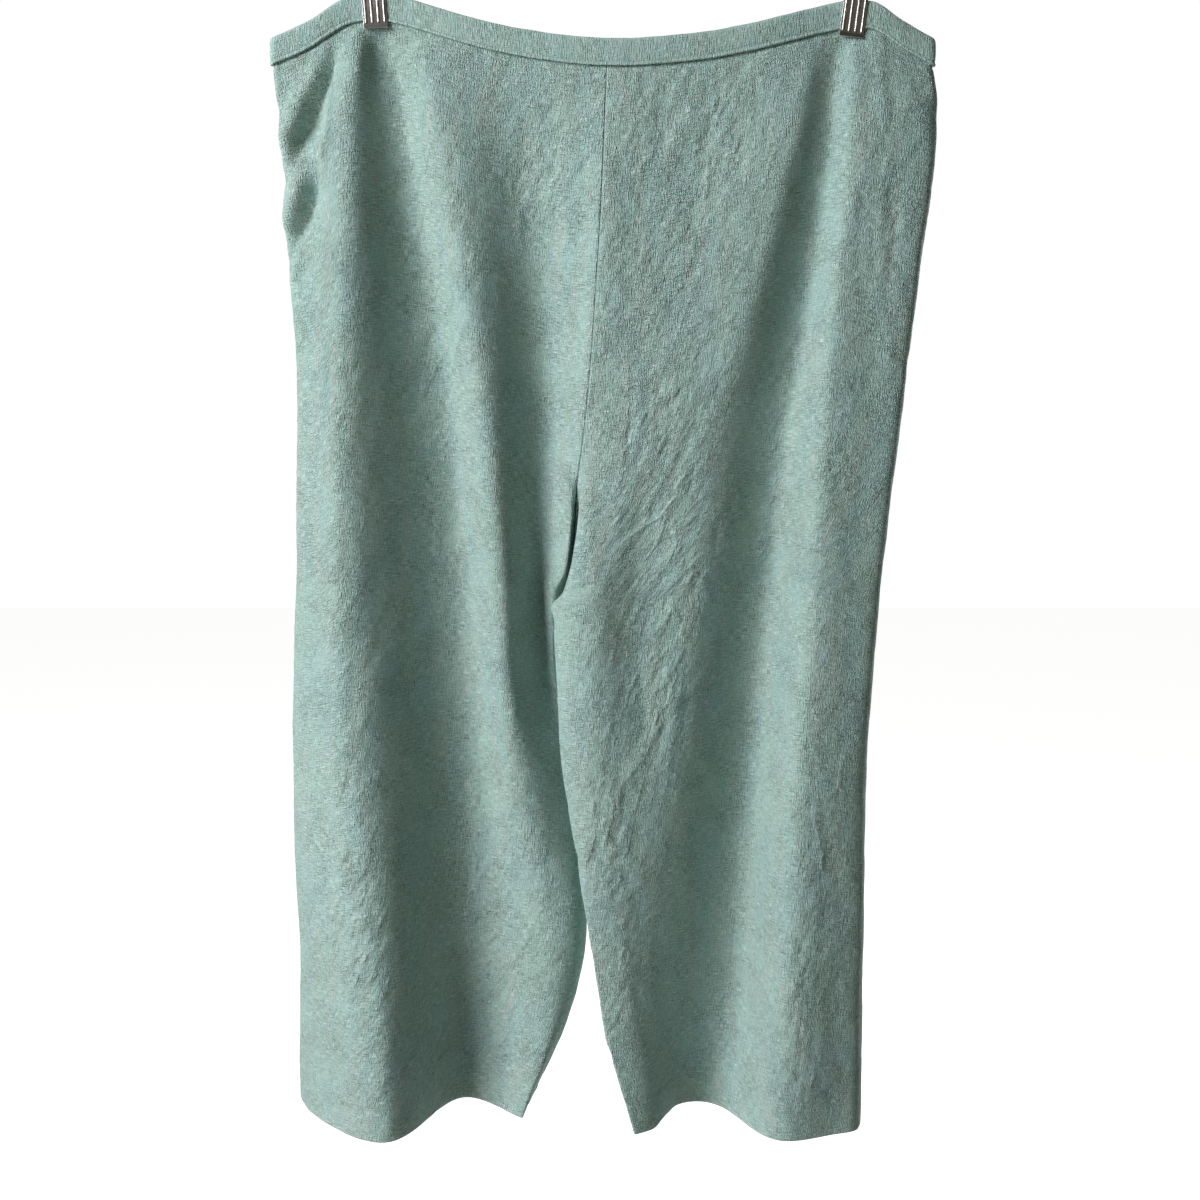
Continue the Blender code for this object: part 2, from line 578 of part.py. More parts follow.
def main():
    """Build the trousers and the hanger that holds them."""
    clear_scene()
    collection = bpy.data.collections.new("linen_trousers_on_clip_hanger")
    bpy.context.scene.collection.children.link(collection)
    linen = (0.36, 0.48, 0.43)
    panels = (
        ("right_front", RIGHT_FRONT, True, 1.0),
        ("left_front", LEFT_FRONT, True, -1.0),
        ("right_back", RIGHT_BACK, False, 1.0),
        ("left_back", LEFT_BACK, False, -1.0),
    )
    edges = {}
    for name, lines, front, towards_centre in panels:
        material = make_material(f"linen_{name}", linen, 0.9, 0.0)
        edges[name] = build_panel(name, lines, front, towards_centre, material, collection)
    build_band(edges, make_material("linen_waistband", linen, 0.9, 0.0), collection)
    steel = (0.62, 0.60, 0.57)
    build_hook(make_material("steel_hook", steel, 0.3, 1.0), collection)
    build_bar(make_material("steel_crossbar", steel, 0.3, 1.0), collection)
    for side, x, height, degrees in CLIPS:
        build_clip(side, x, height, degrees, steel, collection)


main()
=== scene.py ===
"""Cropped wide-leg linen trousers on a two-clip hanger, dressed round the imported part.

The front of the trousers faces -Y, +Z is up and the origin is the inner top of the hook.
Sizes and places are in millimetres and are turned into metres when a mesh is written.
"""

import logging
from dataclasses import dataclass, field
from enum import Enum
from math import copysign, cos, exp, pi, radians, sin, tan
from typing import Any, Sequence, Union

import bpy
import bmesh
import numpy as np
from bpy.types import ID, Material, Mesh, Node, NodeSocket, NodeTree, Object
from mathutils import Matrix, Vector


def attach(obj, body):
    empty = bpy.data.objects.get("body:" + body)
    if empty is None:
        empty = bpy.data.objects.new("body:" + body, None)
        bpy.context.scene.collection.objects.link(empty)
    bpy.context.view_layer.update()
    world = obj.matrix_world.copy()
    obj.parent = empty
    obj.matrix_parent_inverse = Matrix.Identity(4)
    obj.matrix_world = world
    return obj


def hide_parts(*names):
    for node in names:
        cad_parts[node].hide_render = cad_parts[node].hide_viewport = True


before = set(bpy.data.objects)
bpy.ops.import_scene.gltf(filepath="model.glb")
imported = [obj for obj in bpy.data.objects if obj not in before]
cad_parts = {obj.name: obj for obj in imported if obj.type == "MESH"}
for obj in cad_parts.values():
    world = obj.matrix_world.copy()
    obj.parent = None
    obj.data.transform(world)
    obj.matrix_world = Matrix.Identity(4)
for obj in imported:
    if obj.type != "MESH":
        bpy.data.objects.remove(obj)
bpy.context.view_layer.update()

LOG = logging.getLogger("trousers")
MM = 0.001
BODY = "root"
GRAIN = "grain"                # UV map that follows the cloth's threads, in metres
WEAR_AND_HIGHLIGHT = "wear"                  # 1 where seams and edges have rubbed pale, and on the band's rolled edges also a painted highlight
CREASE_GAP = "crease_gap"      # signed distance from the nearest sharp crease, in millimetres
CREASE_RISE = "crease_rise"    # height of that crease, in millimetres
CRUMPLED = "crumpled"          # strength of the smallest crumples
MARKS = (WEAR_AND_HIGHLIGHT, CREASE_GAP, CREASE_RISE, CRUMPLED)   # attributes of every point of the cloth

Number = Union[float, "Signal"]
Array = np.ndarray
Row = tuple[float, ...]
Pair = tuple[float, float]
Place = tuple[float, float, float]
Colour = tuple[float, float, float, float]

# Cloth
LAYER = 0.7            # one layer of linen with its give
SEAM_ROOM = 0.37       # from a seam's plane to the middle of the cloth beside it
SEAM_TURN = 0.45       # radius over which the cloth turns into a seam
SEAM_DEPTHS = (0.7, 2.0, 4.2)   # columns of the seam allowance, measured inwards
CROTCH_ROOM = 0.8      # added to the room where four edges meet
HEM_TURN = 26.0        # height of the turned-up hem
HEM_RADIUS = 0.95      # of the fold at the very edge
TUCK = (3.8, 1.9)      # rows of each panel that stand up inside the band
TOP_ROWS = (12.0, 2.0)     # height and spacing of the close rows below the band
HEM_ROWS = (6.0, 1.6)      # the same above the hem's stitches and down to the edge
HEM_WEAR = radians(240.0)   # turn of the hem over which its wear would fade
PROUD = 0.05           # how far the middle of the thread stands off the cloth
TURN_SHARE = 0.15      # of a curve's mean slope that is left at its knots
NO_CREASE = 50.0       # crease_gap of a point with no sharp crease near it
FAR = 1e6
NEARLY_ZERO = 1e-6

# Waistband
BAND_HALF = 10.0       # half of its height
BAND_CORNER = 3.5      # rounding of the flattened band at the side seams
BAND_GAP = 0.5         # between its lower edge and the panels
BAND_LAYER = 0.8       # thickness of its cloth
BAND_STEP = 2.6        # width of its mesh's cells
TOP_BLEND = 60.0       # the panels follow the band's sag over this height

# Creases: distances in millimetres, or shares of the crease's length, width or rise
CREASE_ENDS = (-0.1, 0.3)      # a crease rises over this first share, and dies over its last
CREST_ENDS = (0.0, 0.25)       # the same for a sharp crest
CREST_REACH = (3.5, 5.5)       # a sharp crest's mark fades between these distances
CRISP_SHARE = 0.6              # of a sharp crease's rise that the mesh takes
LAP_STEP = 1.65                # makes a lap as high as its rise
FALL_POWER = 1.4               # steepness of a fall
FALL_TAIL = 2.6                # widths over which its other side opens
FALL_SWELL = (0.4, 1.2, 0.7)   # rise, distance and reach of the swell before it
CRUMPLE_SCALE = (1.5, 0.5, 1.4)   # of a crumple's stretch, sharp share and rise

# Unevenness of worn linen: rise, shift across and down, then wave, lean, stretch and crisp
WORN = ((0.9, 0, 0, 85, 0, 2.2, 0), (0.5, 400, 0, 27, 12, 1.8, 0.35),
        (0.22, 0, 700, 12, -30, 2, 0.3))
PUCKER = (0.35, 0, 0, 8, 90, 1.6, 0.2)     # beside the seams
PUCKER_PEAK = 4.0                          # distance from the seam at which it is strongest
GATHER = (0.4, 90, 0, 9, 0, 3, 0.2)        # below the band
GATHER_PEAK = 5.0
RIPPLE = (0.45, 0, 50, 13, 8, 2.2, 0.3)    # beside the hem's stitches
RIPPLE_REACH = 9.0

# What seams, band and hem do to the cloth beside them
SEAM_HOLD = (0.0, 8.0)      # creases die away over these distances from a seam
BAND_HOLD = (0.0, 12.0)     # and from the band
HEM_HOLD = (0.0, 6.0)       # and ripples over these from a seam
BAND_DENT = (0.9, 1.0, 2.2)     # depth, distance and reach of the dent below the band
STITCH_DENT = (0.5, 1.6)        # depth and reach of the dent at the hem's stitches
NOTCH_HOLD = (4.0, 22.0)        # notches die away over these distances from the side seam
SEAM_WEAR = (0.7, 2.0)          # strength and reach of the wear along the seams
HEM_EDGE_WEAR = 1.6             # reach of the wear along the hem's edge
RISE_WEAR = 0.25                # wear of a place that stands out by 1

# Heights
BAND_Z = -145.0        # lower edge of the band at the centre front
CROTCH_TOP = -560.0    # the two centre seams start to turn under
CROTCH_LOW = -625.0    # below this each leg is its own tube
HEM_Z = -1040.0        # lower edge of the legs at the centre line
BAR_Z = -62.0          # middle of the hanger's crossbar

# Waistband, from the wearer's right side seam to the left one.
# x, height of the band's middle, depth of the front half, depth of the back half
BAND_ROWS: tuple[Row, ...] = (
    (-284, -129, -1.5, 3.5), (-251, -115, -3, 4), (-216, -95.5, -2.1, 2.1),
    (-197, -93.5, -1.8, 1.8), (-180, -96, -2.1, 2.2), (-134, -110, -7, 10), (-70, -125, -9.5, 14),
    (0, -132, -12, 16), (70, -127, -10.5, 14), (134, -114, -7, 10), (180, -102, -2.1, 2.2),
    (196, -99.5, -1.8, 1.8), (212, -100, -2, 2.1), (238, -114.5, -1, 6), (266, -129, 1.5, 6.5),
)

# Each line runs down a seam, a ridge or a valley of the cloth: height, x, depth.
SIDE_RIGHT: tuple[Row, ...] = (
    (-139, -284, 1), (-205, -279, 4), (-300, -276, 5), (-390, -271, 6), (-560, -277, 8),
    (-780, -284, 10), (-900, -283, 13), (-1041, -286, 18),
)
SIDE_LEFT: tuple[Row, ...] = (
    (-139, 266, 4), (-175, 271, 4), (-210, 270, 4), (-290, 261, 4), (-440, 244, 3), (-600, 228, 3),
    (-780, 220, 1), (-1041, 221, -4),
)
CENTRE_FRONT: tuple[Row, ...] = (
    (-145, -6, -12), (-290, -13, -22), (-440, -25, -25), (-485, -31, -19), (-530, -34, -2),
    (-580, -37, 12), (-592, -37.6, 12.6),
)
CENTRE_BACK: tuple[Row, ...] = (
    (-145, -6, 15), (-290, -9, 30), (-440, -16, 42), (-500, -24, 43), (-540, -31, 34),
    (-580, -37, 15), (-592, -37.6, 14.6),
)
INSEAM_RIGHT: tuple[Row, ...] = (
    (-625, -43, 18), (-655, -45, 20), (-720, -36, 21), (-800, -29, 20), (-880, -26, 17),
    (-960, -43, 10), (-1040, -77, 2),
)
INSEAM_LEFT: tuple[Row, ...] = (
    (-625, -38, 13), (-655, -37, 11), (-720, -31, 4), (-800, -19, -4), (-880, -6, -12),
    (-960, 7, -20), (-1040, 28, -28),
)

RIGHT_FRONT_LINES: tuple[tuple[Row, ...], ...] = (
    SIDE_RIGHT,
    ((-128, -248, -2), (-290, -247, -12), (-480, -250, -24), (-640, -250, -35), (-860, -243, -48),
     (-1042, -242, -58)),
    ((-106, -216, -2.1), (-113, -216, -3), (-130, -219, -7.5), (-210, -222, -17),
     (-290, -225, -25), (-370, -227, -31), (-560, -230, -46), (-680, -222, -54), (-860, -206, -68),
     (-1042, -196, -84)),
    ((-105, -187, -1.9), (-116, -189, 0), (-145, -189, 4.5), (-210, -181, 8), (-290, -169, 10.5),
     (-440, -147, 9), (-640, -136, 6), (-860, -127, -4), (-1039, -131, -6.5)),
    ((-119, -154, -5.5), (-210, -138, -15.5), (-370, -115, -23), (-530, -99, -28),
     (-680, -90, -31), (-800, -68, -33), (-880, -52, -38), (-960, -55, -40), (-1040, -80, -43.5)),
    ((-135, -78, -9), (-210, -69, -1), (-290, -65, 4), (-370, -63, 7), (-440, -62, 7),
     (-530, -63, 5.5), (-600, -64, 8), (-640, -63, 7), (-680, -54, 4), (-800, -38, -17),
     (-880, -33, -32), (-960, -46, -32), (-1040, -79, -28)),
    ((-144, -24, -11.5), (-210, -28, -12), (-290, -30, -12), (-370, -31, -13.5), (-440, -34, -17),
     (-500, -35, -20), (-545, -39, -18), (-565, -43, -14), (-580, -51, -9), (-602, -53, -5),
     (-640, -52, -1), (-720, -41, 3), (-800, -29, -2), (-880, -24, -4), (-960, -40, -10),
     (-1040, -75, -15)),
    CENTRE_FRONT + INSEAM_RIGHT,
)
LEFT_FRONT_LINES: tuple[tuple[Row, ...], ...] = (
    SIDE_LEFT,
    ((-133, 258, 0.5), (-150, 262, -2.5), (-210, 264, -6), (-290, 255, -13), (-370, 246, -19),
     (-440, 238, -25), (-600, 222, -34), (-740, 214, -41), (-880, 213, -48), (-1042, 212, -60)),
    ((-122, 240, -3), (-150, 238, -7), (-210, 231, -11.5), (-290, 224, -17), (-370, 216, -24.5),
     (-440, 210, -31), (-600, 203, -41), (-740, 195, -51), (-880, 189, -60), (-1042, 188, -70)),
    ((-109, 209, -2), (-122, 207, -3.5), (-150, 203, -9), (-210, 199, -15), (-290, 191, -22),
     (-370, 184, -29), (-440, 178, -35), (-600, 171, -47), (-740, 158, -58), (-900, 154, -72),
     (-1042, 147, -81)),
    ((-111, 188, -2), (-124, 187, -0.5), (-150, 184, 0), (-210, 177, 0.5), (-290, 166, 3.5),
     (-370, 154, 4), (-440, 145, 4.5), (-600, 128, 5.5), (-800, 110, 0), (-960, 98, -8),
     (-1038, 80, -17)),
    ((-122, 158, -5), (-150, 156, -9.5), (-210, 142, -15), (-290, 121, -19.5), (-370, 98, -23),
     (-440, 80, -24), (-530, 70, -27), (-600, 63, -28), (-680, 55, -35), (-800, 47, -40),
     (-900, 46, -37.5), (-1036, 58, -26.5)),
    ((-138, 76, -9), (-210, 72, -11.5), (-290, 58, -17), (-370, 46, -22.5), (-440, 37, -26.5),
     (-530, 29, -28), (-600, 25, -31), (-680, 27, -39), (-800, 27, -48), (-900, 28, -49.5),
     (-1036, 46, -46)),
    ((-144, 24, -11.5), (-290, 16, -19.5), (-440, 4, -28), (-500, -6, -32), (-545, -13, -37),
     (-590, -19, -44), (-640, -19, -49), (-720, -17, -53), (-800, -18, -57), (-880, -2, -60),
     (-960, 14, -62), (-1040, 34, -64)),
    ((-144, 4, -12), (-290, -3, -21.5), (-440, -15, -27), (-500, -27, -29), (-533, -32, -29),
     (-568, -39.5, -28), (-580, -44, -27), (-591, -53, -26), (-602, -50.5, -27), (-619, -50, -28),
     (-655, -48, -32), (-724, -45, -37), (-758, -40, -41), (-793, -34, -48), (-846, -25, -55),
     (-880, -19, -59), (-960, -5, -65), (-1040, 18, -73)),
    CENTRE_FRONT + INSEAM_LEFT,
)
RIGHT_BACK_LINES: tuple[tuple[Row, ...], ...] = (
    SIDE_RIGHT,
    ((-128, -248, 4), (-290, -250, 18), (-480, -254, 28), (-640, -256, 38), (-860, -256, 54),
     (-1042, -254, 66)),
    ((-106, -214, 2.1), (-118, -213, 2.3), (-150, -212, 9), (-210, -214, 22), (-370, -218, 40),
     (-560, -222, 56), (-740, -216, 68), (-1042, -206, 86)),
    ((-105, -184, 2.1), (-116, -182, 2.3), (-150, -176, 11), (-290, -160, 26), (-440, -148, 34),
     (-640, -140, 42), (-860, -136, 48), (-1039, -138, 50)),
    ((-119, -136, 10), (-210, -118, 28), (-370, -100, 45), (-560, -92, 60), (-740, -84, 66),
     (-900, -84, 68), (-1040, -98, 68)),
    ((-142, -52, 15), (-290, -48, 32), (-440, -48, 46), (-560, -60, 50), (-640, -64, 49),
     (-740, -54, 49), (-880, -46, 44), (-960, -60, 40), (-1040, -90, 34)),
    CENTRE_BACK + INSEAM_RIGHT,
)
LEFT_BACK_LINES: tuple[tuple[Row, ...], ...] = (
    SIDE_LEFT,
    ((-122, 240, 6), (-290, 236, 18), (-480, 218, 28), (-640, 206, 38), (-860, 196, 52),
     (-1042, 198, 60)),
    ((-109, 210, 2.1), (-124, 208, 2.3), (-150, 205, 7), (-210, 200, 22), (-370, 190, 40),
     (-560, 178, 56), (-740, 166, 66), (-1042, 158, 80)),
    ((-111, 182, 2.1), (-124, 180, 2.3), (-155, 173, 10), (-290, 150, 26), (-440, 136, 34),
     (-640, 122, 40), (-860, 112, 42), (-1039, 106, 42)),
    ((-124, 134, 10), (-210, 112, 28), (-370, 92, 45), (-560, 76, 60), (-740, 66, 62),
     (-900, 62, 62), (-1040, 64, 60)),
    ((-142, 40, 15), (-290, 34, 32), (-440, 24, 46), (-560, 0, 50), (-640, -8, 45), (-740, 4, 40),
     (-880, 18, 32), (-960, 28, 24), (-1040, 42, 14)),
    CENTRE_BACK + INSEAM_LEFT,
)


class Half(Enum):
    """Which half of the trousers a panel is in; the value is the way it faces along Y."""

    FRONT = -1.0
    BACK = 1.0


class Fold(Enum):
    """Cross-section of a crease."""

    SOFT = "soft"      # rounded, never pressed
    CRISP = "crisp"    # a sharp crest, as linen takes
    LAP = "lap"        # high on one side of the line and low on the other
    FALL = "fall"      # a steep fall into a sharp trough that opens slowly on its other side


SOFT, CRISP, LAP, FALL = Fold


# ---- curves and noise


def slopes(knots: Array, values: Array) -> Array:
    """Slopes of a curve that turns close to its own highest and lowest knots.

    Args:
        knots: parameters, one row per curve.
        values: points, one row per curve, with the coordinates on the third axis.

    Returns:
        One slope per knot, shaped as values.
    """
    step = np.diff(knots, axis=1)[:, :, None]
    rise = np.diff(values, axis=1) / step
    before, after = rise[:, :-1], rise[:, 1:]
    left, right = step[:, :-1], step[:, 1:]
    first = 2.0 * right + left
    second = right + 2.0 * left
    same = before * after > 0.0
    safe_before = np.where(same, before, 1.0)
    safe_after = np.where(same, after, 1.0)
    middle = (first + second) / (first / safe_before + second / safe_after)
    inner = np.where(same, middle, 0.0) + TURN_SHARE * 0.5 * (before + after)
    return np.concatenate([rise[:, :1], inner, rise[:, -1:]], axis=1)


def curve_points(knots: Array, values: Array, slope: Array,
                 at: Array) -> Array:
    """Points of each row's curve.

    Args:
        knots: parameters, one row per curve.
        values: points at the knots.
        slope: slopes at the knots.
        at: parameters wanted, one row per curve.

    Returns:
        The points there.
    """
    rows = np.arange(knots.shape[0])[:, None]
    cell = np.stack([np.searchsorted(*row, side="right") - 1 for row in zip(knots, at)])
    cell = np.clip(cell, 0, knots.shape[1] - 2)
    start = knots[rows, cell]
    length = (knots[rows, cell + 1] - start)[:, :, None]
    t = (at - start)[:, :, None] / length
    return ((2 * t**3 - 3 * t**2 + 1) * values[rows, cell]
            + (t**3 - 2 * t**2 + t) * (slope[rows, cell] * length)
            + (3 * t**2 - 2 * t**3) * values[rows, cell + 1]
            + (t**3 - t**2) * (slope[rows, cell + 1] * length))


def through(rows: Sequence[Row], at: Array) -> Array:
    """Value columns of a short table at the given values of its first column.

    Args:
        rows: the table, sorted either way by its first column.
        at: values of the first column.

    Returns:
        One row of the other columns for each value.
    """
    table = np.array(rows, dtype=float)
    if table[0, 0] > table[-1, 0]:
        table = table[::-1]
    knots = table[None, :, 0]
    values = table[None, :, 1:]
    at = np.clip(np.asarray(at, dtype=float), knots[0, 0], knots[0, -1])
    return curve_points(knots, values, slopes(knots, values), at[None, :])[0]


def smoothstep(value: Array, low: float, high: float) -> Array:
    """0 at low, 1 at high and smooth between."""
    t = np.clip((value - low) / (high - low), 0.0, 1.0)
    return t * t * (3.0 - 2.0 * t)


def unit(vectors: Array) -> Array:
    """The vectors at length 1, along their last axis."""
    return vectors / np.maximum(np.linalg.norm(vectors, axis=-1, keepdims=True), 1e-9)


def running(steps: Array) -> Array:
    """Sums of the steps so far along the last axis, from 0."""
    sums = np.cumsum(steps, axis=-1)
    return np.concatenate([np.zeros_like(sums[..., :1]), sums], axis=-1)


def arc(start: float, end: float, count: int) -> Array:
    """Angles in radians between two angles in degrees."""
    return np.radians(np.linspace(start, end, count))


def band_path(x: Array, half: float) -> tuple[Array, Array]:
    """Depth and middle height of the band at x.

    Args:
        x: places across the trousers.
        half: -1 for the front half of the band and 1 for the back half.

    Returns:
        Depths and heights.
    """
    level = through(BAND_ROWS, x)
    middle = 0.5 * (level[:, 1] + level[:, 2])
    spread = 0.5 * (level[:, 2] - level[:, 1])
    ends = np.minimum(x - BAND_ROWS[0][0], BAND_ROWS[-1][0] - x)
    inside = 1.0 - np.clip(ends / BAND_CORNER, 0.0, 1.0)
    rounding = np.sqrt(np.maximum(0.0, 1.0 - inside * inside))
    return middle + half * spread * rounding, level[:, 0]


class ClothNoise:
    """Smooth seeded noise over the flat cloth, between about -1 and 1."""

    SIZE = 256         # cells after which the lattice repeats
    GAIN = 1.5         # brings the heights to about -1 and 1
    WANDER = 0.35      # how far a crumple strays from its line, in distances between crumples
    FINER = 2.1        # the rounded crumples' second layer is finer by this
    CLOSER = 1.4       # sharp valleys are closer together than sharp ridges by this
    CREST = 2.2        # steepness of both sharp kinds
    SHARP_RISE = 0.6   # and their height

    def __init__(self, seed: int) -> None:
        """Draw the lattice of slopes for one seed."""
        angle = np.random.default_rng(seed).uniform(0.0, 2.0 * pi, (self.SIZE, self.SIZE))
        self.slope = np.stack([np.cos(angle), np.sin(angle)], axis=-1)

    def at(self, u: Array, v: Array) -> Array:
        """Noise with a wavelength of about one and a half units of u and v.

        Args:
            u: places across.
            v: places down.

        Returns:
            Heights between about -1 and 1.
        """
        cells = [np.floor(part).astype(int) for part in (u, v)]
        part_u, part_v = u - cells[0], v - cells[1]
        ease_u, ease_v = (p**3 * (p * (6.0 * p - 15.0) + 10.0) for p in (part_u, part_v))
        total = np.zeros_like(part_u)
        for step_u, weight_u in ((0, 1.0 - ease_u), (1, ease_u)):
            for step_v, weight_v in ((0, 1.0 - ease_v), (1, ease_v)):
                slope = self.slope[(cells[0] + step_u) % self.SIZE,
                                   (cells[1] + step_v) % self.SIZE]
                height = slope[..., 0] * (part_u - step_u) + slope[..., 1] * (part_v - step_v)
                total += height * weight_u * weight_v
        return self.GAIN * total

    def creased(self, u: Array, v: Array, wave: float, lean: float, stretch: float,
                crisp: float) -> Array:
        """Crumples that lean away from the grain, partly rounded and partly sharp.

        Args:
            u: places across the cloth.
            v: places down the cloth.
            wave: distance between crumples.
            lean: degrees by which they lean from the vertical threads.
            stretch: how much longer than wide they are.
            crisp: share of sharp creases.

        Returns:
            Heights between about -1 and 1.
        """
        angle = radians(lean)
        across = (u * cos(angle) + v * sin(angle)) / wave
        along = (v * cos(angle) - u * sin(angle)) / (wave * stretch)
        # what is added to across and along only keeps the layers apart
        push = self.WANDER * self.at(0.7 * across + 31.0, 0.7 * along + 17.0)
        soft = (self.at(across + push, along)
                + 0.5 * self.at(self.FINER * across + 5.0, self.FINER * along + 9.0))
        ridge = 1.0 - self.CREST * np.abs(self.at(across + 51.0 + push, along + 23.0))
        valley = 1.0 - self.CREST * np.abs(self.at(self.CLOSER * across + 87.0,
                                                   self.CLOSER * along + 61.0 - push))
        return (1.0 - crisp) * soft + crisp * self.SHARP_RISE * (ridge - valley)

    def layer(self, u: Array, v: Array, kind: Row) -> Array:
        """Heights of one kind of unevenness, a row as WORN has them."""
        return kind[0] * self.creased(u + kind[1], v + kind[2], *kind[3:])


# ---- objects


def add_object(name: str, data: ID) -> Object:
    """Put a new object with its data into the scene.

    Args:
        name: name of the object.
        data: its mesh, curve, light or camera.

    Returns:
        The object.
    """
    item = bpy.data.objects.new(name, data)
    bpy.context.scene.collection.objects.link(item)
    return item


def add_wall(item: Object, thickness: float, even: bool) -> None:
    """Thicken a sheet to both sides, by millimetres, with the same thickness on bends or not.

    Args:
        item: the sheet.
        thickness: millimetres.
        even: whether bends keep it.
    """
    wall = item.modifiers.new("wall", "SOLIDIFY")
    wall.thickness = thickness * MM
    wall.offset = 0.0
    wall.use_even_offset = even


def plain_mesh(item: Object) -> Mesh:
    """A new mesh of what an object's curve or modifiers give.

    Args:
        item: the object.

    Returns:
        The mesh.
    """
    bpy.context.view_layer.update()
    graph = bpy.context.evaluated_depsgraph_get()
    return bpy.data.meshes.new_from_object(item.evaluated_get(graph))


def close_work(work: bmesh.types.BMesh, mesh: Mesh) -> Mesh:
    """Turn the faces outwards and write the work to a mesh.

    Args:
        work: the faces, freed here.
        mesh: the mesh that takes them.

    Returns:
        The mesh.
    """
    bmesh.ops.recalc_face_normals(work, faces=work.faces)
    work.to_mesh(mesh)
    work.free()
    return mesh


# ---- cloth


@dataclass
class ClothGrid:
    """A sheet of cloth as rows of points, with its outward side and its place on the flat cut.

    Attributes:
        points: rows by columns by 3, in millimetres.
        outward: the unit vectors that point away from the wearer.
        flat: rows by columns by 2, the place on the flat cloth in millimetres.
        marks: rows by columns by the values that MARKS names.
        ring: whether the last column joins the first.
    """

    points: Array
    outward: Array
    flat: Array
    marks: Array
    ring: bool = False

    def place(self, height: float, x: float) -> Array:
        """Place on the flat cloth of the point nearest to a height and an x."""
        gap = (self.points[:, :, 2] - height) ** 2 + (self.points[:, :, 0] - x) ** 2
        return self.flat[np.unravel_index(np.argmin(gap), gap.shape)]

    def to_object(self, name: str, layer: float, material: Material) -> Object:
        """Write the sheet as an object with a wall.

        Args:
            name: name of the piece.
            layer: thickness of the cloth in millimetres.
            material: its finish.

        Returns:
            The object, with a live Solidify modifier.
        """
        rows, columns = self.points.shape[:2]
        spans = columns if self.ring else columns - 1
        row = np.arange(rows - 1)[:, None] * columns
        column = np.arange(spans)[None, :]
        after = (column + 1) % columns
        corners = np.stack([row + column, row + after, row + columns + after,
                            row + columns + column], axis=-1).reshape(-1, 4)
        flat = self.points.reshape(-1, 3)
        face = corners[len(corners) // 2]
        facing = np.cross(flat[face[2]] - flat[face[0]], flat[face[3]] - flat[face[1]])
        if facing @ self.outward.reshape(-1, 3)[face[0]] < 0.0:
            corners = corners[:, ::-1]
        mesh = bpy.data.meshes.new(name)
        mesh.from_pydata((flat * MM).tolist(), [], corners.tolist(), shade_flat=False)
        grain = mesh.uv_layers.new(name=GRAIN)
        place = self.flat.reshape(-1, 2)[corners.ravel()]
        if self.ring:
            last = np.repeat((np.arange(len(corners)) % spans) == spans - 1, 4)
            lap = self.flat[:, -1, 0].max() + np.diff(self.flat[0, -2:, 0])[0]
            wrapped = last & (corners.ravel() % columns == 0)
            place[wrapped, 0] += lap
        grain.data.foreach_set("uv", (place * MM).astype(np.float32).ravel())
        for channel, label in enumerate(MARKS):
            mark = mesh.attributes.new(label, "FLOAT", "POINT")
            values = np.ascontiguousarray(self.marks[:, :, channel], dtype=np.float32)
            mark.data.foreach_set("value", values.ravel())
        mesh.materials.append(material)
        item = add_object(name, mesh)
        add_wall(item, layer, even=False)
        return item


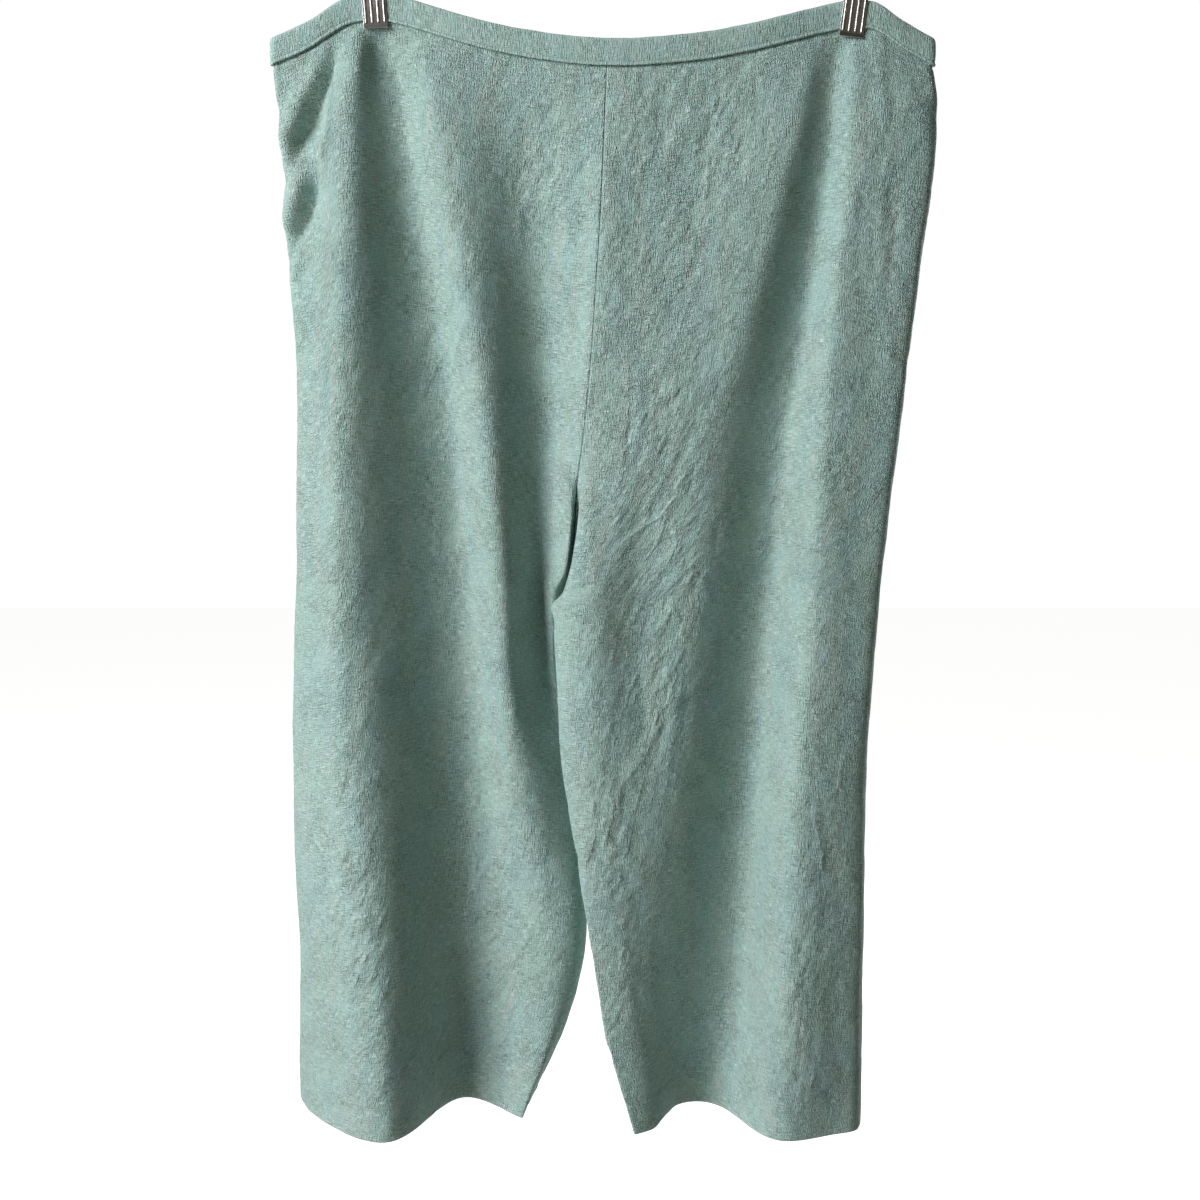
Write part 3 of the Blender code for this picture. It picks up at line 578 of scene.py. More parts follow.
@dataclass(frozen=True)
class Crease:
    """One listed trough or ridge.

    Attributes:
        path: heights and x along the crease.
        width: distance from its middle to where it has died away.
        rise: how far it stands out, negative for a trough.
        fold: its cross-section.
    """

    path: tuple[Pair, ...]
    width: float
    rise: float
    fold: Fold

    def line(self, grid: ClothGrid) -> Array:
        """Smooth run of points along the crease on the flat cloth.

        Args:
            grid: the cloth.

        Returns:
            The points.
        """
        knots = np.array([grid.place(height, x) for height, x in self.path])
        if len(knots) < 3:
            return knots
        padded = np.vstack([2 * knots[0] - knots[1], knots, 2 * knots[-1] - knots[-2]])
        t = np.linspace(0.0, 1.0, 7)[:-1, None]
        parts = []
        for a, b, c, d in zip(padded, padded[1:], padded[2:], padded[3:]):
            parts.append(0.5 * (2 * b + (c - a) * t + (2 * a - 5 * b + 4 * c - d) * t**2
                                + (3 * b - a - 3 * c + d) * t**3))
        return np.vstack(parts + [knots[-1:]])

    def measure(self, grid: ClothGrid) -> tuple[Array, Array, Array]:
        """Where the points near the crease are.

        Args:
            grid: the cloth.

        Returns:
            Which points are near it, their signed distances and their shares of its length.
        """
        line = self.line(grid)
        margin = 3.0 * self.width
        near = np.all((grid.flat > line.min(axis=0) - margin)
                      & (grid.flat < line.max(axis=0) + margin), axis=2)
        places = grid.flat[near]
        best = np.full(len(places), FAR)
        signed = np.full(len(places), FAR)
        along = np.zeros(len(places))
        lengths = np.linalg.norm(np.diff(line, axis=0), axis=1)
        starts = running(lengths)
        for start, end, length, before in zip(line, line[1:], lengths, starts):
            if length < NEARLY_ZERO:
                continue
            ahead = (end - start) / length
            offset = places - start
            run = np.clip(offset @ ahead, 0.0, length)
            away = offset - run[:, None] * ahead
            distance = np.hypot(away[:, 0], away[:, 1])
            closer = distance < best
            best = np.where(closer, distance, best)
            side = np.sign(ahead[0] * offset[:, 1] - ahead[1] * offset[:, 0])
            signed = np.where(closer, distance * side, signed)
            along = np.where(closer, (before + run) / starts[-1], along)
        return near, signed, along

    def press(self, grid: ClothGrid, lift: Array) -> None:
        """Press the crease into the cloth.

        Args:
            grid: the cloth, whose marks take the sharp creases.
            lift: how far each point is lifted, which takes the rounded part.
        """
        near, signed, along = self.measure(grid)
        scaled = signed / (0.5 * self.width)
        bell = np.exp(-0.5 * np.minimum(scaled * scaled, 80.0))
        taper = smoothstep(along, *CREASE_ENDS) * smoothstep(1.0 - along, *CREASE_ENDS)
        if self.fold is LAP:
            lift[near] += self.rise * taper * scaled * bell * LAP_STEP
            return
        if self.fold is FALL:
            share = signed / self.width
            height, away, reach = FALL_SWELL
            steep = np.clip(1.0 + share, 0.0, 1.0) ** FALL_POWER
            slow = np.clip(1.0 - share / FALL_TAIL, 0.0, 1.0) ** 2
            swell = height * np.exp(-(((share + away) / reach) ** 2))
            lift[near] += self.rise * taper * (np.where(signed < 0.0, steep, slow) - swell)
            return
        lift[near] += self.rise * taper * bell * (CRISP_SHARE if self.fold is CRISP else 1.0)
        if self.fold is CRISP:
            marks = grid.marks[near]
            closer = np.abs(signed) < np.abs(marks[:, 1])
            ends = smoothstep(along, *CREST_ENDS) * smoothstep(1.0 - along, *CREST_ENDS)
            crest = self.rise * ends * (1.0 - smoothstep(np.abs(signed), *CREST_REACH))
            marks[:, 1] = np.where(closer, signed, marks[:, 1])
            marks[:, 2] = np.where(closer, crest, marks[:, 2])
            grid.marks[near] = marks


def creases(*rows: tuple[Any, ...]) -> tuple[Crease, ...]:
    """Creases from rows of fold, width and rise, then height and x of each point in turn.

    Args:
        rows: the rows; one without its fold is soft.

    Returns:
        The creases.
    """
    full = (row if isinstance(row[0], Fold) else (SOFT, *row) for row in rows)
    return tuple(Crease(tuple(zip(row[3::2], row[4::2])), row[1], row[2], row[0])
                 for row in full)


@dataclass(frozen=True)
class Crumple:
    """A patch of small creases without a place of their own.

    Attributes:
        centre: height and x of the patch's middle.
        reach: half of its height and half of its width.
        wave: distance between creases.
        rise: height of the creases.
        lean: degrees by which they lean from the vertical threads.
        stretch: how much longer than wide they are.
        crisp: share of sharp creases.
    """

    centre: Pair
    reach: Pair
    wave: float
    rise: float
    lean: float
    stretch: float
    crisp: float

    def heights(self, grid: ClothGrid, noise: ClothNoise) -> Array:
        """How far the patch lifts each point; the grid's marks take its strength.

        Args:
            grid: the cloth.
            noise: the panel's noise.

        Returns:
            Lift of each point.
        """
        middle = grid.place(*self.centre)
        down = (grid.flat[:, :, 1] - middle[1]) / self.reach[0]
        across = (grid.flat[:, :, 0] - middle[0]) / self.reach[1]
        mask = np.exp(-(down * down + across * across))
        grid.marks[:, :, 3] = np.maximum(grid.marks[:, :, 3], self.rise * mask)
        stretch, crisp, rise = CRUMPLE_SCALE
        folds = noise.creased(grid.flat[:, :, 0], grid.flat[:, :, 1], self.wave, self.lean,
                              stretch * self.stretch, crisp * self.crisp)
        return rise * self.rise * mask * folds


def crumples(*rows: Row) -> tuple[Crumple, ...]:
    """Crumples from rows of the two values of centre and of reach, then the other fields."""
    return tuple(Crumple(row[:2], row[2:4], *row[4:]) for row in rows)


@dataclass
class Panel:
    """One of the four cut pieces of the legs, from the waistband to its turned-up hem.

    Attributes:
        name: name of the piece.
        node: CAD node that it stands for.
        half: front or back.
        towards_centre: sign of x from the side seam to the centre.
        lines: seams, ridges and valleys, from the side seam to the centre.
        creases: listed troughs and ridges.
        crumples: patches of small creases.
        notches: dents of the side seam: height, reach and depth.
        cut: width and length of the flat cut with its allowances, in metres; not used.
        cut_area: area of the flat cut, in square metres; not used.
        seed: seed of its small unevenness.
        cell: size of the mesh's cells.
    """

    name: str
    node: str
    half: Half
    towards_centre: float
    lines: tuple[tuple[Row, ...], ...]
    creases: tuple[Crease, ...]
    crumples: tuple[Crumple, ...]
    notches: tuple[Row, ...]
    cut: Pair
    cut_area: float
    seed: int
    cell: float = 2.9

    def row_heights(self) -> Array:
        """Heights of the rows on the centre line: closer together at the band and the hem.

        Returns:
            The heights, from the top down.
        """
        top, low = BAND_Z - TOP_ROWS[0], HEM_Z + HEM_TURN + HEM_ROWS[0]
        return np.concatenate([np.arange(BAND_Z, top, -TOP_ROWS[1]),
                               np.arange(top, low, -self.cell),
                               np.arange(low, HEM_Z + 0.5, -HEM_ROWS[1]), [HEM_Z]])

    def surface(self) -> ClothGrid:
        """Middle surface of the hanging panel, before its creases.

        Returns:
            The cloth.
        """
        share = (self.row_heights() - BAND_Z) / (HEM_Z - BAND_Z)
        control = []
        for line in self.lines:
            height = line[0][0] + share * (line[-1][0] - line[0][0])
            control.append(np.column_stack([through(line, height), height]))
        control = np.stack(control, axis=1)
        knots = running(np.linalg.norm(np.diff(control[:, :, :2], axis=1), axis=2))
        slope = slopes(knots, control)
        facing = self.half.value
        slope[:, 0, 0] = 0.0
        slope[:, 0, 1] = facing
        turned = smoothstep(-control[:, -1, 2], -CROTCH_TOP, -CROTCH_LOW)
        slope[:, -1, 0] = self.towards_centre * np.cos(0.5 * pi * turned)
        slope[:, -1, 1] = -facing * np.sin(0.5 * pi * turned)
        room = SEAM_ROOM + SEAM_TURN
        high = knots[:, -1] - room - CROTCH_ROOM * np.sin(pi * turned)
        count = int(round(np.mean(knots[:, -1]) / self.cell))
        part = np.linspace(0.0, 1.0, count)[None, :]
        points = curve_points(knots, control, slope, room * (1.0 - part) + high[:, None] * part)
        depth, middle = band_path(points[0, :, 0], facing)
        wanted = np.column_stack([points[0, :, 0], depth, middle - BAND_HALF - BAND_GAP])
        fade = 1.0 - smoothstep(points[0, :, 2] - points[:, :, 2], 0.0, TOP_BLEND)
        points = points + fade[:, :, None] * (wanted - points[0])[None]
        marks = np.zeros(points.shape[:2] + (len(MARKS),))
        marks[:, :, 1] = NO_CREASE
        return ClothGrid(points, self.outward_of(points), self.flattened(points), marks)

    def outward_of(self, points: Array) -> Array:
        """Unit vectors that point away from the wearer."""
        side = np.cross(np.gradient(points, axis=1), np.gradient(points, axis=0))
        return unit(side) * self.towards_centre * self.half.value

    def flattened(self, points: Array) -> Array:
        """Place on the flat cut: across and down from the middle of the top edge.

        Args:
            points: the hanging cloth.

        Returns:
            Two numbers for each point.
        """
        run = running(np.linalg.norm(np.diff(points, axis=1), axis=2))
        middle = points.shape[1] // 2
        run = (run - run[:, middle:middle + 1]) * self.towards_centre
        down = running(np.linalg.norm(np.diff(points[:, middle], axis=0), axis=1))
        return np.stack([run, -down[:, None] + np.zeros_like(run)], axis=-1)

    def creased(self, grid: ClothGrid) -> ClothGrid:
        """The panel with its creases, its crumples and the small unevenness of worn linen.

        Args:
            grid: the smooth cloth, which its creases mark.

        Returns:
            The creased cloth.
        """
        noise = ClothNoise(self.seed)
        u, v = grid.flat[:, :, 0], grid.flat[:, :, 1]
        lift = sum(noise.layer(u, v, kind) for kind in WORN)
        for crease in self.creases:
            crease.press(grid, lift)
        for crumple in self.crumples:
            lift += crumple.heights(grid, noise)
        columns = np.arange(u.shape[1])[None, :]
        edge = np.minimum(columns, u.shape[1] - 1 - columns) * self.cell
        drop = grid.points[0:1, :, 2] - grid.points[:, :, 2]
        lift *= smoothstep(edge, *SEAM_HOLD) * smoothstep(drop, *BAND_HOLD)
        depth, away, reach = BAND_DENT
        lift -= depth * np.exp(-((drop - away) / reach) ** 2)
        for height, reach, depth in self.notches:
            near = np.exp(-((grid.points[:, :, 2] - height) / reach) ** 2)
            lift -= depth * near * (1.0 - smoothstep(columns * self.cell, *NOTCH_HOLD))
        for kind, share in ((PUCKER, edge / PUCKER_PEAK), (GATHER, drop / GATHER_PEAK)):
            lift += noise.layer(u, v, kind) * share * np.exp(1.0 - share)
        above_hem = grid.points[:, :, 2] - grid.points[-1:, :, 2]
        stitched = np.abs(above_hem - HEM_TURN)
        depth, reach = STITCH_DENT
        lift -= depth * np.exp(-((stitched / reach) ** 2))
        lift += (noise.layer(u, v, RIPPLE) * np.exp(-((stitched / RIPPLE_REACH) ** 2))
                 * smoothstep(edge, *HEM_HOLD))
        points = grid.points + grid.outward * lift[:, :, None]
        marks = grid.marks.copy()
        strength, reach = SEAM_WEAR
        worn = (np.exp(-edge / reach) * strength + np.exp(-above_hem / HEM_EDGE_WEAR)
                + RISE_WEAR * np.clip(lift, 0.0, 1.0))
        marks[:, :, 0] = np.clip(worn, 0.0, 1.0)
        return ClothGrid(points, grid.outward, grid.flat, marks)

    def finished(self, grid: ClothGrid) -> ClothGrid:
        """Add what is turned in: the hem, the tuck under the band and the seam allowances.

        Args:
            grid: the creased cloth.

        Returns:
            The whole cut piece.
        """
        points, outward, flat = grid.points, grid.outward, grid.flat
        down = unit(points[-1] - points[-3])
        facing = outward[-2]
        rows, sides, places, worn = [], [], [], []
        for angle in arc(45.0, 180.0, 4):
            rows.append(points[-1] - facing * HEM_RADIUS * (1.0 - cos(angle))
                        + down * HEM_RADIUS * sin(angle))
            sides.append(facing)
            places.append(flat[-1] - [0.0, HEM_RADIUS * angle])
            worn.append(1.0 - angle / HEM_WEAR)
        fold = len(points) - 1
        depth = 0.0
        while depth < HEM_TURN - 1.0:
            fold -= 2
            depth = float(np.mean(points[fold, :, 2] - points[-1, :, 2]))
            rows.append(points[fold] - outward[fold] * 2.0 * HEM_RADIUS)
            sides.append(outward[fold])
            places.append(flat[-1] - [0.0, depth + pi * HEM_RADIUS])
            worn.append(0.0)
        tuck = [points[0] + [0.0, 0.0, rise] for rise in TUCK]
        above = [flat[0] + [0.0, rise] for rise in TUCK]
        low_marks = np.zeros((len(rows),) + grid.marks.shape[1:])
        low_marks[:, :, 0] = np.array(worn)[:, None]
        top_marks = np.zeros((len(tuck),) + grid.marks.shape[1:])
        return self.with_allowances(ClothGrid(
            np.concatenate([np.stack(tuck), points, np.stack(rows)]),
            np.concatenate([outward[:1]] * len(tuck) + [outward, np.stack(sides)]),
            np.concatenate([np.stack(above), flat, np.stack(places)]),
            np.concatenate([top_marks, grid.marks, low_marks]),
        ))

    def with_allowances(self, grid: ClothGrid) -> ClothGrid:
        """Turn both long edges in, as the allowances of the side seam and the inner seam.

        Args:
            grid: the cloth up to its seams.

        Returns:
            The cloth with more columns.
        """
        pieces = [(grid.points, grid.outward, grid.flat, grid.marks)]
        for column, neighbour, first in ((0, 1, True), (-1, -2, False)):
            edge = grid.points[:, column]
            out = unit(edge - grid.points[:, neighbour])
            facing = grid.outward[:, column]
            columns = []
            for angle in arc(45.0, 90.0, 2):
                columns.append((edge - facing * SEAM_TURN * (1.0 - cos(angle))
                                + out * SEAM_TURN * sin(angle), SEAM_TURN * angle))
            for depth in SEAM_DEPTHS:
                columns.append((edge + out * SEAM_TURN - facing * (SEAM_TURN + depth),
                                SEAM_TURN * 0.5 * pi + depth))
            sign = np.sign(grid.flat[0, column, 0] - grid.flat[0, neighbour, 0])
            marks = grid.marks[:, column].copy()
            marks[:, 2:] = 0.0
            added = [(place, facing, grid.flat[:, column] + [sign * run, 0.0], marks)
                     for place, run in columns]
            if first:
                added = added[::-1]
            block = tuple(np.stack(parts, axis=1) for parts in zip(*added))
            pieces.insert(0 if first else len(pieces), block)
        return ClothGrid(*(np.concatenate(parts, axis=1) for parts in zip(*pieces)))

    def hem_line(self, grid: ClothGrid) -> Array:
        """Run of points just proud of the cloth where the hem is stitched.

        Args:
            grid: the creased cloth.

        Returns:
            The points.
        """
        above = grid.points[:, :, 2] - grid.points[-1:, :, 2]
        row = int(np.argmin(np.abs(np.mean(above, axis=1) - HEM_TURN)))
        return grid.points[row, 2:-2] + grid.outward[row, 2:-2] * (0.5 * LAYER + PROUD)

    def build(self, material: Material) -> tuple[Object, Array]:
        """Make the panel.

        Args:
            material: finish of the linen.

        Returns:
            The object and the line along which its hem is stitched.
        """
        grid = self.creased(self.surface())
        item = self.finished(grid).to_object(self.name, LAYER, material)
        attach(item, BODY)
        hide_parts(self.node)
        return item, self.hem_line(grid)


@dataclass
class Waistband:
    """The folded strip round the waist, pinched flat where the clips hold it.

    Attributes:
        cut: length round the waist and width of the flat strip, in metres; not used.
        pinches: x of each clip.
        pinch_reach: distance over which the band opens again beside a clip.
        pinch_share: share of its loose thickness that it keeps in a clip.
        section: outward offset and height of the strip's cross-section, from its turned-in
            lower edge over the top fold to the edge inside the waist.
        stitch_height: height of the row of stitches above its lower edge, from the middle.
        stitch_offset: how far out the cloth's middle is there.
        edge_wear_and_highlight: strength, height from the middle and reach of the paler colour
            along both edges: wear, and a painted highlight on the rolled edges.
        waves: kinds of its small unevenness, rows as WORN has them.
        face_reach: height from the middle up to which its faces are uneven.
        sway: height and wavelength of the unevenness of both its edges.
        seed: seed of its small unevenness.
    """

    cut: Pair = (1.19, 0.052)
    pinches: Pair = (-197.0, 196.0)
    pinch_reach: float = 26.0
    pinch_share: float = 0.6
    section: tuple[Pair, ...] = (
        (0.75, -8.7), (0.95, -9.7), (1.4, -10.5), (1.8, -10.55), (2.1, -9.95), (2.05, -9.2),
        (1.65, -8.55), (1.3, -8.1), (1.3, -7.6), (1.6, -6.7), (1.85, -5.0), (1.95, -2.0),
        (1.95, 1.5), (1.85, 5.0), (1.6, 8.0), (1.2, 9.7), (0.65, 10.6), (0.0, 10.9),
        (-0.62, 10.6), (-1.12, 9.7), (-1.32, 7.5), (-1.36, 2.0), (-1.36, -4.0), (-1.32, -9.6),
    )
    stitch_height: float = -7.85
    stitch_offset: float = 1.3
    # paler along both edges: rubbed wear, and a painted highlight where the rolled edges catch the
    # light
    edge_wear_and_highlight: Place = (1.2, 10.0, 0.9)
    waves: tuple[Row, ...] = ((0.16, 0, 0, 11, 8, 2.5, 0.2), (0.45, 300, 0, 46, 0, 3, 0))
    face_reach: float = 9.0
    sway: Pair = (0.35, 17.0)
    seed: int = 41

    def path(self) -> tuple[Array, Array]:
        """Middle line of the band, once round the waist.

        Returns:
            Points, and unit vectors away from the wearer.
        """
        first, last = BAND_ROWS[0][0], BAND_ROWS[-1][0]
        turn = BAND_CORNER * (1.0 - np.cos(np.radians(np.arange(0.0, 90.0, 15.0))))
        straight = np.arange(first + BAND_CORNER, last - BAND_CORNER, BAND_STEP)
        x = np.concatenate([first + turn, straight, last - turn[::-1]])
        front = np.column_stack([x, *band_path(x, Half.FRONT.value)])
        back = np.column_stack([x[::-1], *band_path(x[::-1], Half.BACK.value)])[1:-1]
        path = np.concatenate([front, back])
        ahead = np.roll(path, -1, axis=0) - np.roll(path, 1, axis=0)
        normal = np.column_stack([ahead[:, 1], -ahead[:, 0], np.zeros(len(path))])
        return path, unit(normal)

    def squeeze(self, path: Array) -> Array:
        """Share of its loose thickness that the band keeps at each place.

        Args:
            path: middle line of the band.

        Returns:
            One share for each point.
        """
        share = np.ones(len(path))
        for pinch in self.pinches:
            closed = np.exp(-(((path[:, 0] - pinch) / self.pinch_reach) ** 4))
            share -= (1.0 - self.pinch_share) * closed
        return share

    def grid(self) -> ClothGrid:
        """The band as a sheet: rows follow its cross-section and columns go round the waist.

        Returns:
            The cloth.
        """
        path, normal = self.path()
        noise = ClothNoise(self.seed)
        run = running(np.linalg.norm(np.diff(path, axis=0), axis=1))
        section = np.array(self.section)
        width = running(np.linalg.norm(np.diff(section, axis=0), axis=1))
        squeeze = self.squeeze(path)
        loose = smoothstep(squeeze, self.pinch_share, 1.0)
        rows = []
        for (offset, height), down in zip(section, width):
            level = np.full(len(run), down)
            face = exp(-((height / self.face_reach) ** 6))
            lift = (sum(noise.layer(run, level, kind) for kind in self.waves)
                    * face * loose * copysign(1.0, offset))
            rise, wave = self.sway
            edge = rise * noise.at(run / wave, np.full(len(run), 3.0 + copysign(2.0, height)))
            sway = edge * loose * min(abs(height) / BAND_HALF, 1.0)
            out = (offset * squeeze + lift)[:, None]
            rows.append(path + normal * out + np.array([0.0, 0.0, 1.0]) * (height + sway)[:, None])
        points = np.stack(rows)
        flat = np.stack(np.broadcast_arrays(run[None, :], -width[:, None]), axis=-1)
        marks = np.zeros(points.shape[:2] + (len(MARKS),))
        # both edges made paler: wear, and a painted highlight on the rolled edges
        strength, level, reach = self.edge_wear_and_highlight
        worn = strength * np.exp(-((np.abs(section[:, 1]) - level) / reach) ** 2)
        marks[:, :, 0] = worn[:, None]
        marks[:, :, 1] = NO_CREASE
        outward = np.broadcast_to(normal[None], points.shape).copy()
        return ClothGrid(points, outward, flat, marks, ring=True)

    def stitch_line(self) -> Array:
        """Closed run of points just proud of the groove above the band's lower edge.

        Returns:
            The points, with the first again at the end.
        """
        path, normal = self.path()
        offset = self.stitch_offset * self.squeeze(path) + 0.5 * BAND_LAYER + PROUD
        line = path + normal * offset[:, None] + np.array([0.0, 0.0, self.stitch_height])
        return np.vstack([line, line[:1]])

    def build(self, material: Material) -> tuple[Object, Array]:
        """Make the band.

        Args:
            material: finish of the linen.

        Returns:
            The object and its line of stitches.
        """
        item = self.grid().to_object("waistband_linen", BAND_LAYER, material)
        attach(item, BODY)
        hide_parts("waistband")
        return item, self.stitch_line()


# ---- node trees


class Tree:
    """Builds one node tree, shader or geometry."""

    def __init__(self, tree: NodeTree) -> None:
        """Take an empty tree."""
        self.tree = tree

    def node(self, kind: str, settings: dict[str, Any] | None = None,
             inputs: dict[Any, Any] | None = None) -> Node:
        """Add a node.

        Args:
            kind: Blender's type of node.
            settings: its properties, set before its sockets.
            inputs: values or signals, by the input's name or number.

        Returns:
            The node.
        """
        node = self.tree.nodes.new(kind)
        for key, value in (settings or {}).items():
            setattr(node, key, value)
        self.plug(node, inputs or {})
        return node

    def plug(self, node: Node, inputs: dict[Any, Any]) -> None:
        """Set or link a node's inputs, by their name or number.

        Args:
            node: the node.
            inputs: values or signals.
        """
        for key, value in inputs.items():
            if isinstance(value, Signal):
                self.tree.links.new(value.socket, node.inputs[key])
            else:
                node.inputs[key].default_value = value

    def signal(self, kind: str, settings: dict[str, Any] | None = None,
               inputs: dict[Any, Any] | None = None, output: Any = 0) -> "Signal":
        """Add a node and take one of its outputs."""
        return Signal(self, self.node(kind, settings, inputs).outputs[output])

    def maths(self, operation: str, *values: Number, clamp: bool = False) -> "Signal":
        """Add one Math node."""
        inputs = dict(enumerate(values))
        return self.signal("ShaderNodeMath", {"operation": operation, "use_clamp": clamp}, inputs)

    def blend(self, factor: Number, low: Any, high: Any, kind: str = "MIX") -> "Signal":
        """Mix two colours: low where factor is 0 and high where it is 1.

        Args:
            factor: share of high.
            low: first colour.
            high: second colour.
            kind: how they mix.

        Returns:
            The mixed colour.
        """
        settings = {"data_type": "RGBA", "blend_type": kind, "clamp_factor": True}
        colours = {0: factor, 6: low, 7: high}
        return self.signal("ShaderNodeMix", settings, colours, output=2)

    def vector(self, x: Number = 0.0, y: Number = 0.0, z: Number = 0.0) -> "Signal":
        """Join three numbers."""
        return self.signal("ShaderNodeCombineXYZ", None, {0: x, 1: y, 2: z})


class Signal:
    """A socket's value that takes part in plain arithmetic."""

    def __init__(self, tree: Tree, socket: NodeSocket) -> None:
        """Wrap one output socket of a tree."""
        self.tree = tree
        self.socket = socket

    def __add__(self, other: Number) -> "Signal":
        """Sum."""
        return self.tree.maths("ADD", self, other)

    __radd__ = __add__

    def __sub__(self, other: Number) -> "Signal":
        """Difference."""
        return self.tree.maths("SUBTRACT", self, other)

    def __rsub__(self, other: Number) -> "Signal":
        """Difference from a number."""
        return self.tree.maths("SUBTRACT", other, self)

    def __mul__(self, other: Number) -> "Signal":
        """Product."""
        return self.tree.maths("MULTIPLY", self, other)

    __rmul__ = __mul__

    def __abs__(self) -> "Signal":
        """Size without its sign."""
        return self.tree.maths("ABSOLUTE", self)

    def sine(self) -> "Signal":
        """Sine of the value in radians."""
        return self.tree.maths("SINE", self)

    def part(self, index: int) -> "Signal":
        """One number of a vector: 0 for x, 1 for y and 2 for z."""
        return self.tree.signal("ShaderNodeSeparateXYZ", None, {0: self}, output=index)

    def clamped(self) -> "Signal":
        """The value kept between 0 and 1."""
        return self.tree.maths("ADD", self, 0.0, clamp=True)

    def ramp(self, low: float, high: float) -> "Signal":
        """0 at low, 1 at high and smooth between.

        Args:
            low: value that gives 0.
            high: value that gives 1.

        Returns:
            The new signal.
        """
        settings = {"interpolation_type": "SMOOTHSTEP"}
        inputs = {0: self, 1: low, 2: high, 3: 0.0, 4: 1.0}
        return self.tree.signal("ShaderNodeMapRange", settings, inputs)


class Finish(Tree):
    """A material under way: its Principled shader and the tools to feed it."""

    def __init__(self, name: str) -> None:
        """Start an empty material of that name.

        Args:
            name: name of the material.
        """
        self.material = bpy.data.materials.new(name)
        self.material.use_nodes = True
        super().__init__(self.material.node_tree)
        self.shader = self.tree.nodes["Principled BSDF"]

    def noise(self, vector: Signal, scale: float, detail: float = 2.0,
              roughness: float = 0.5) -> Signal:
        """Noise between 0 and 1 over a vector."""
        inputs = {"Vector": vector, "Scale": scale, "Detail": detail, "Roughness": roughness}
        return self.signal("ShaderNodeTexNoise", {"noise_dimensions": "3D"}, inputs)

    def drawn(self, vector: Signal, across: float, down: float, detail: float = 0.0,
              roughness: float = 0.5) -> Signal:
        """Noise with a scale of its own across the cloth and down it."""
        return self.noise(self.scaled(vector, (across, down, 1.0)), 1.0, detail, roughness)

    def borders(self, vector: Signal) -> Signal:
        """Distance to the nearest border between Voronoi cells."""
        return self.signal("ShaderNodeTexVoronoi", {"feature": "DISTANCE_TO_EDGE"},
                           {"Vector": vector, "Scale": 1.0}, output="Distance")

    def scaled(self, vector: Signal, factors: Place) -> Signal:
        """A vector with each part multiplied."""
        return self.signal("ShaderNodeVectorMath", {"operation": "MULTIPLY"},
                           {0: vector, 1: factors})

    def feed(self, **inputs: Any) -> None:
        """Set or link the shader's inputs, named with underscores for spaces."""
        self.plug(self.shader, {key.replace("_", " "): value for key, value in inputs.items()})

    def bump(self, height: Signal) -> None:
        """Drive the shader's normal by a height in millimetres."""
        self.feed(Normal=self.signal("ShaderNodeBump", None, {
            "Strength": 1.0, "Distance": MM, "Height": height}))


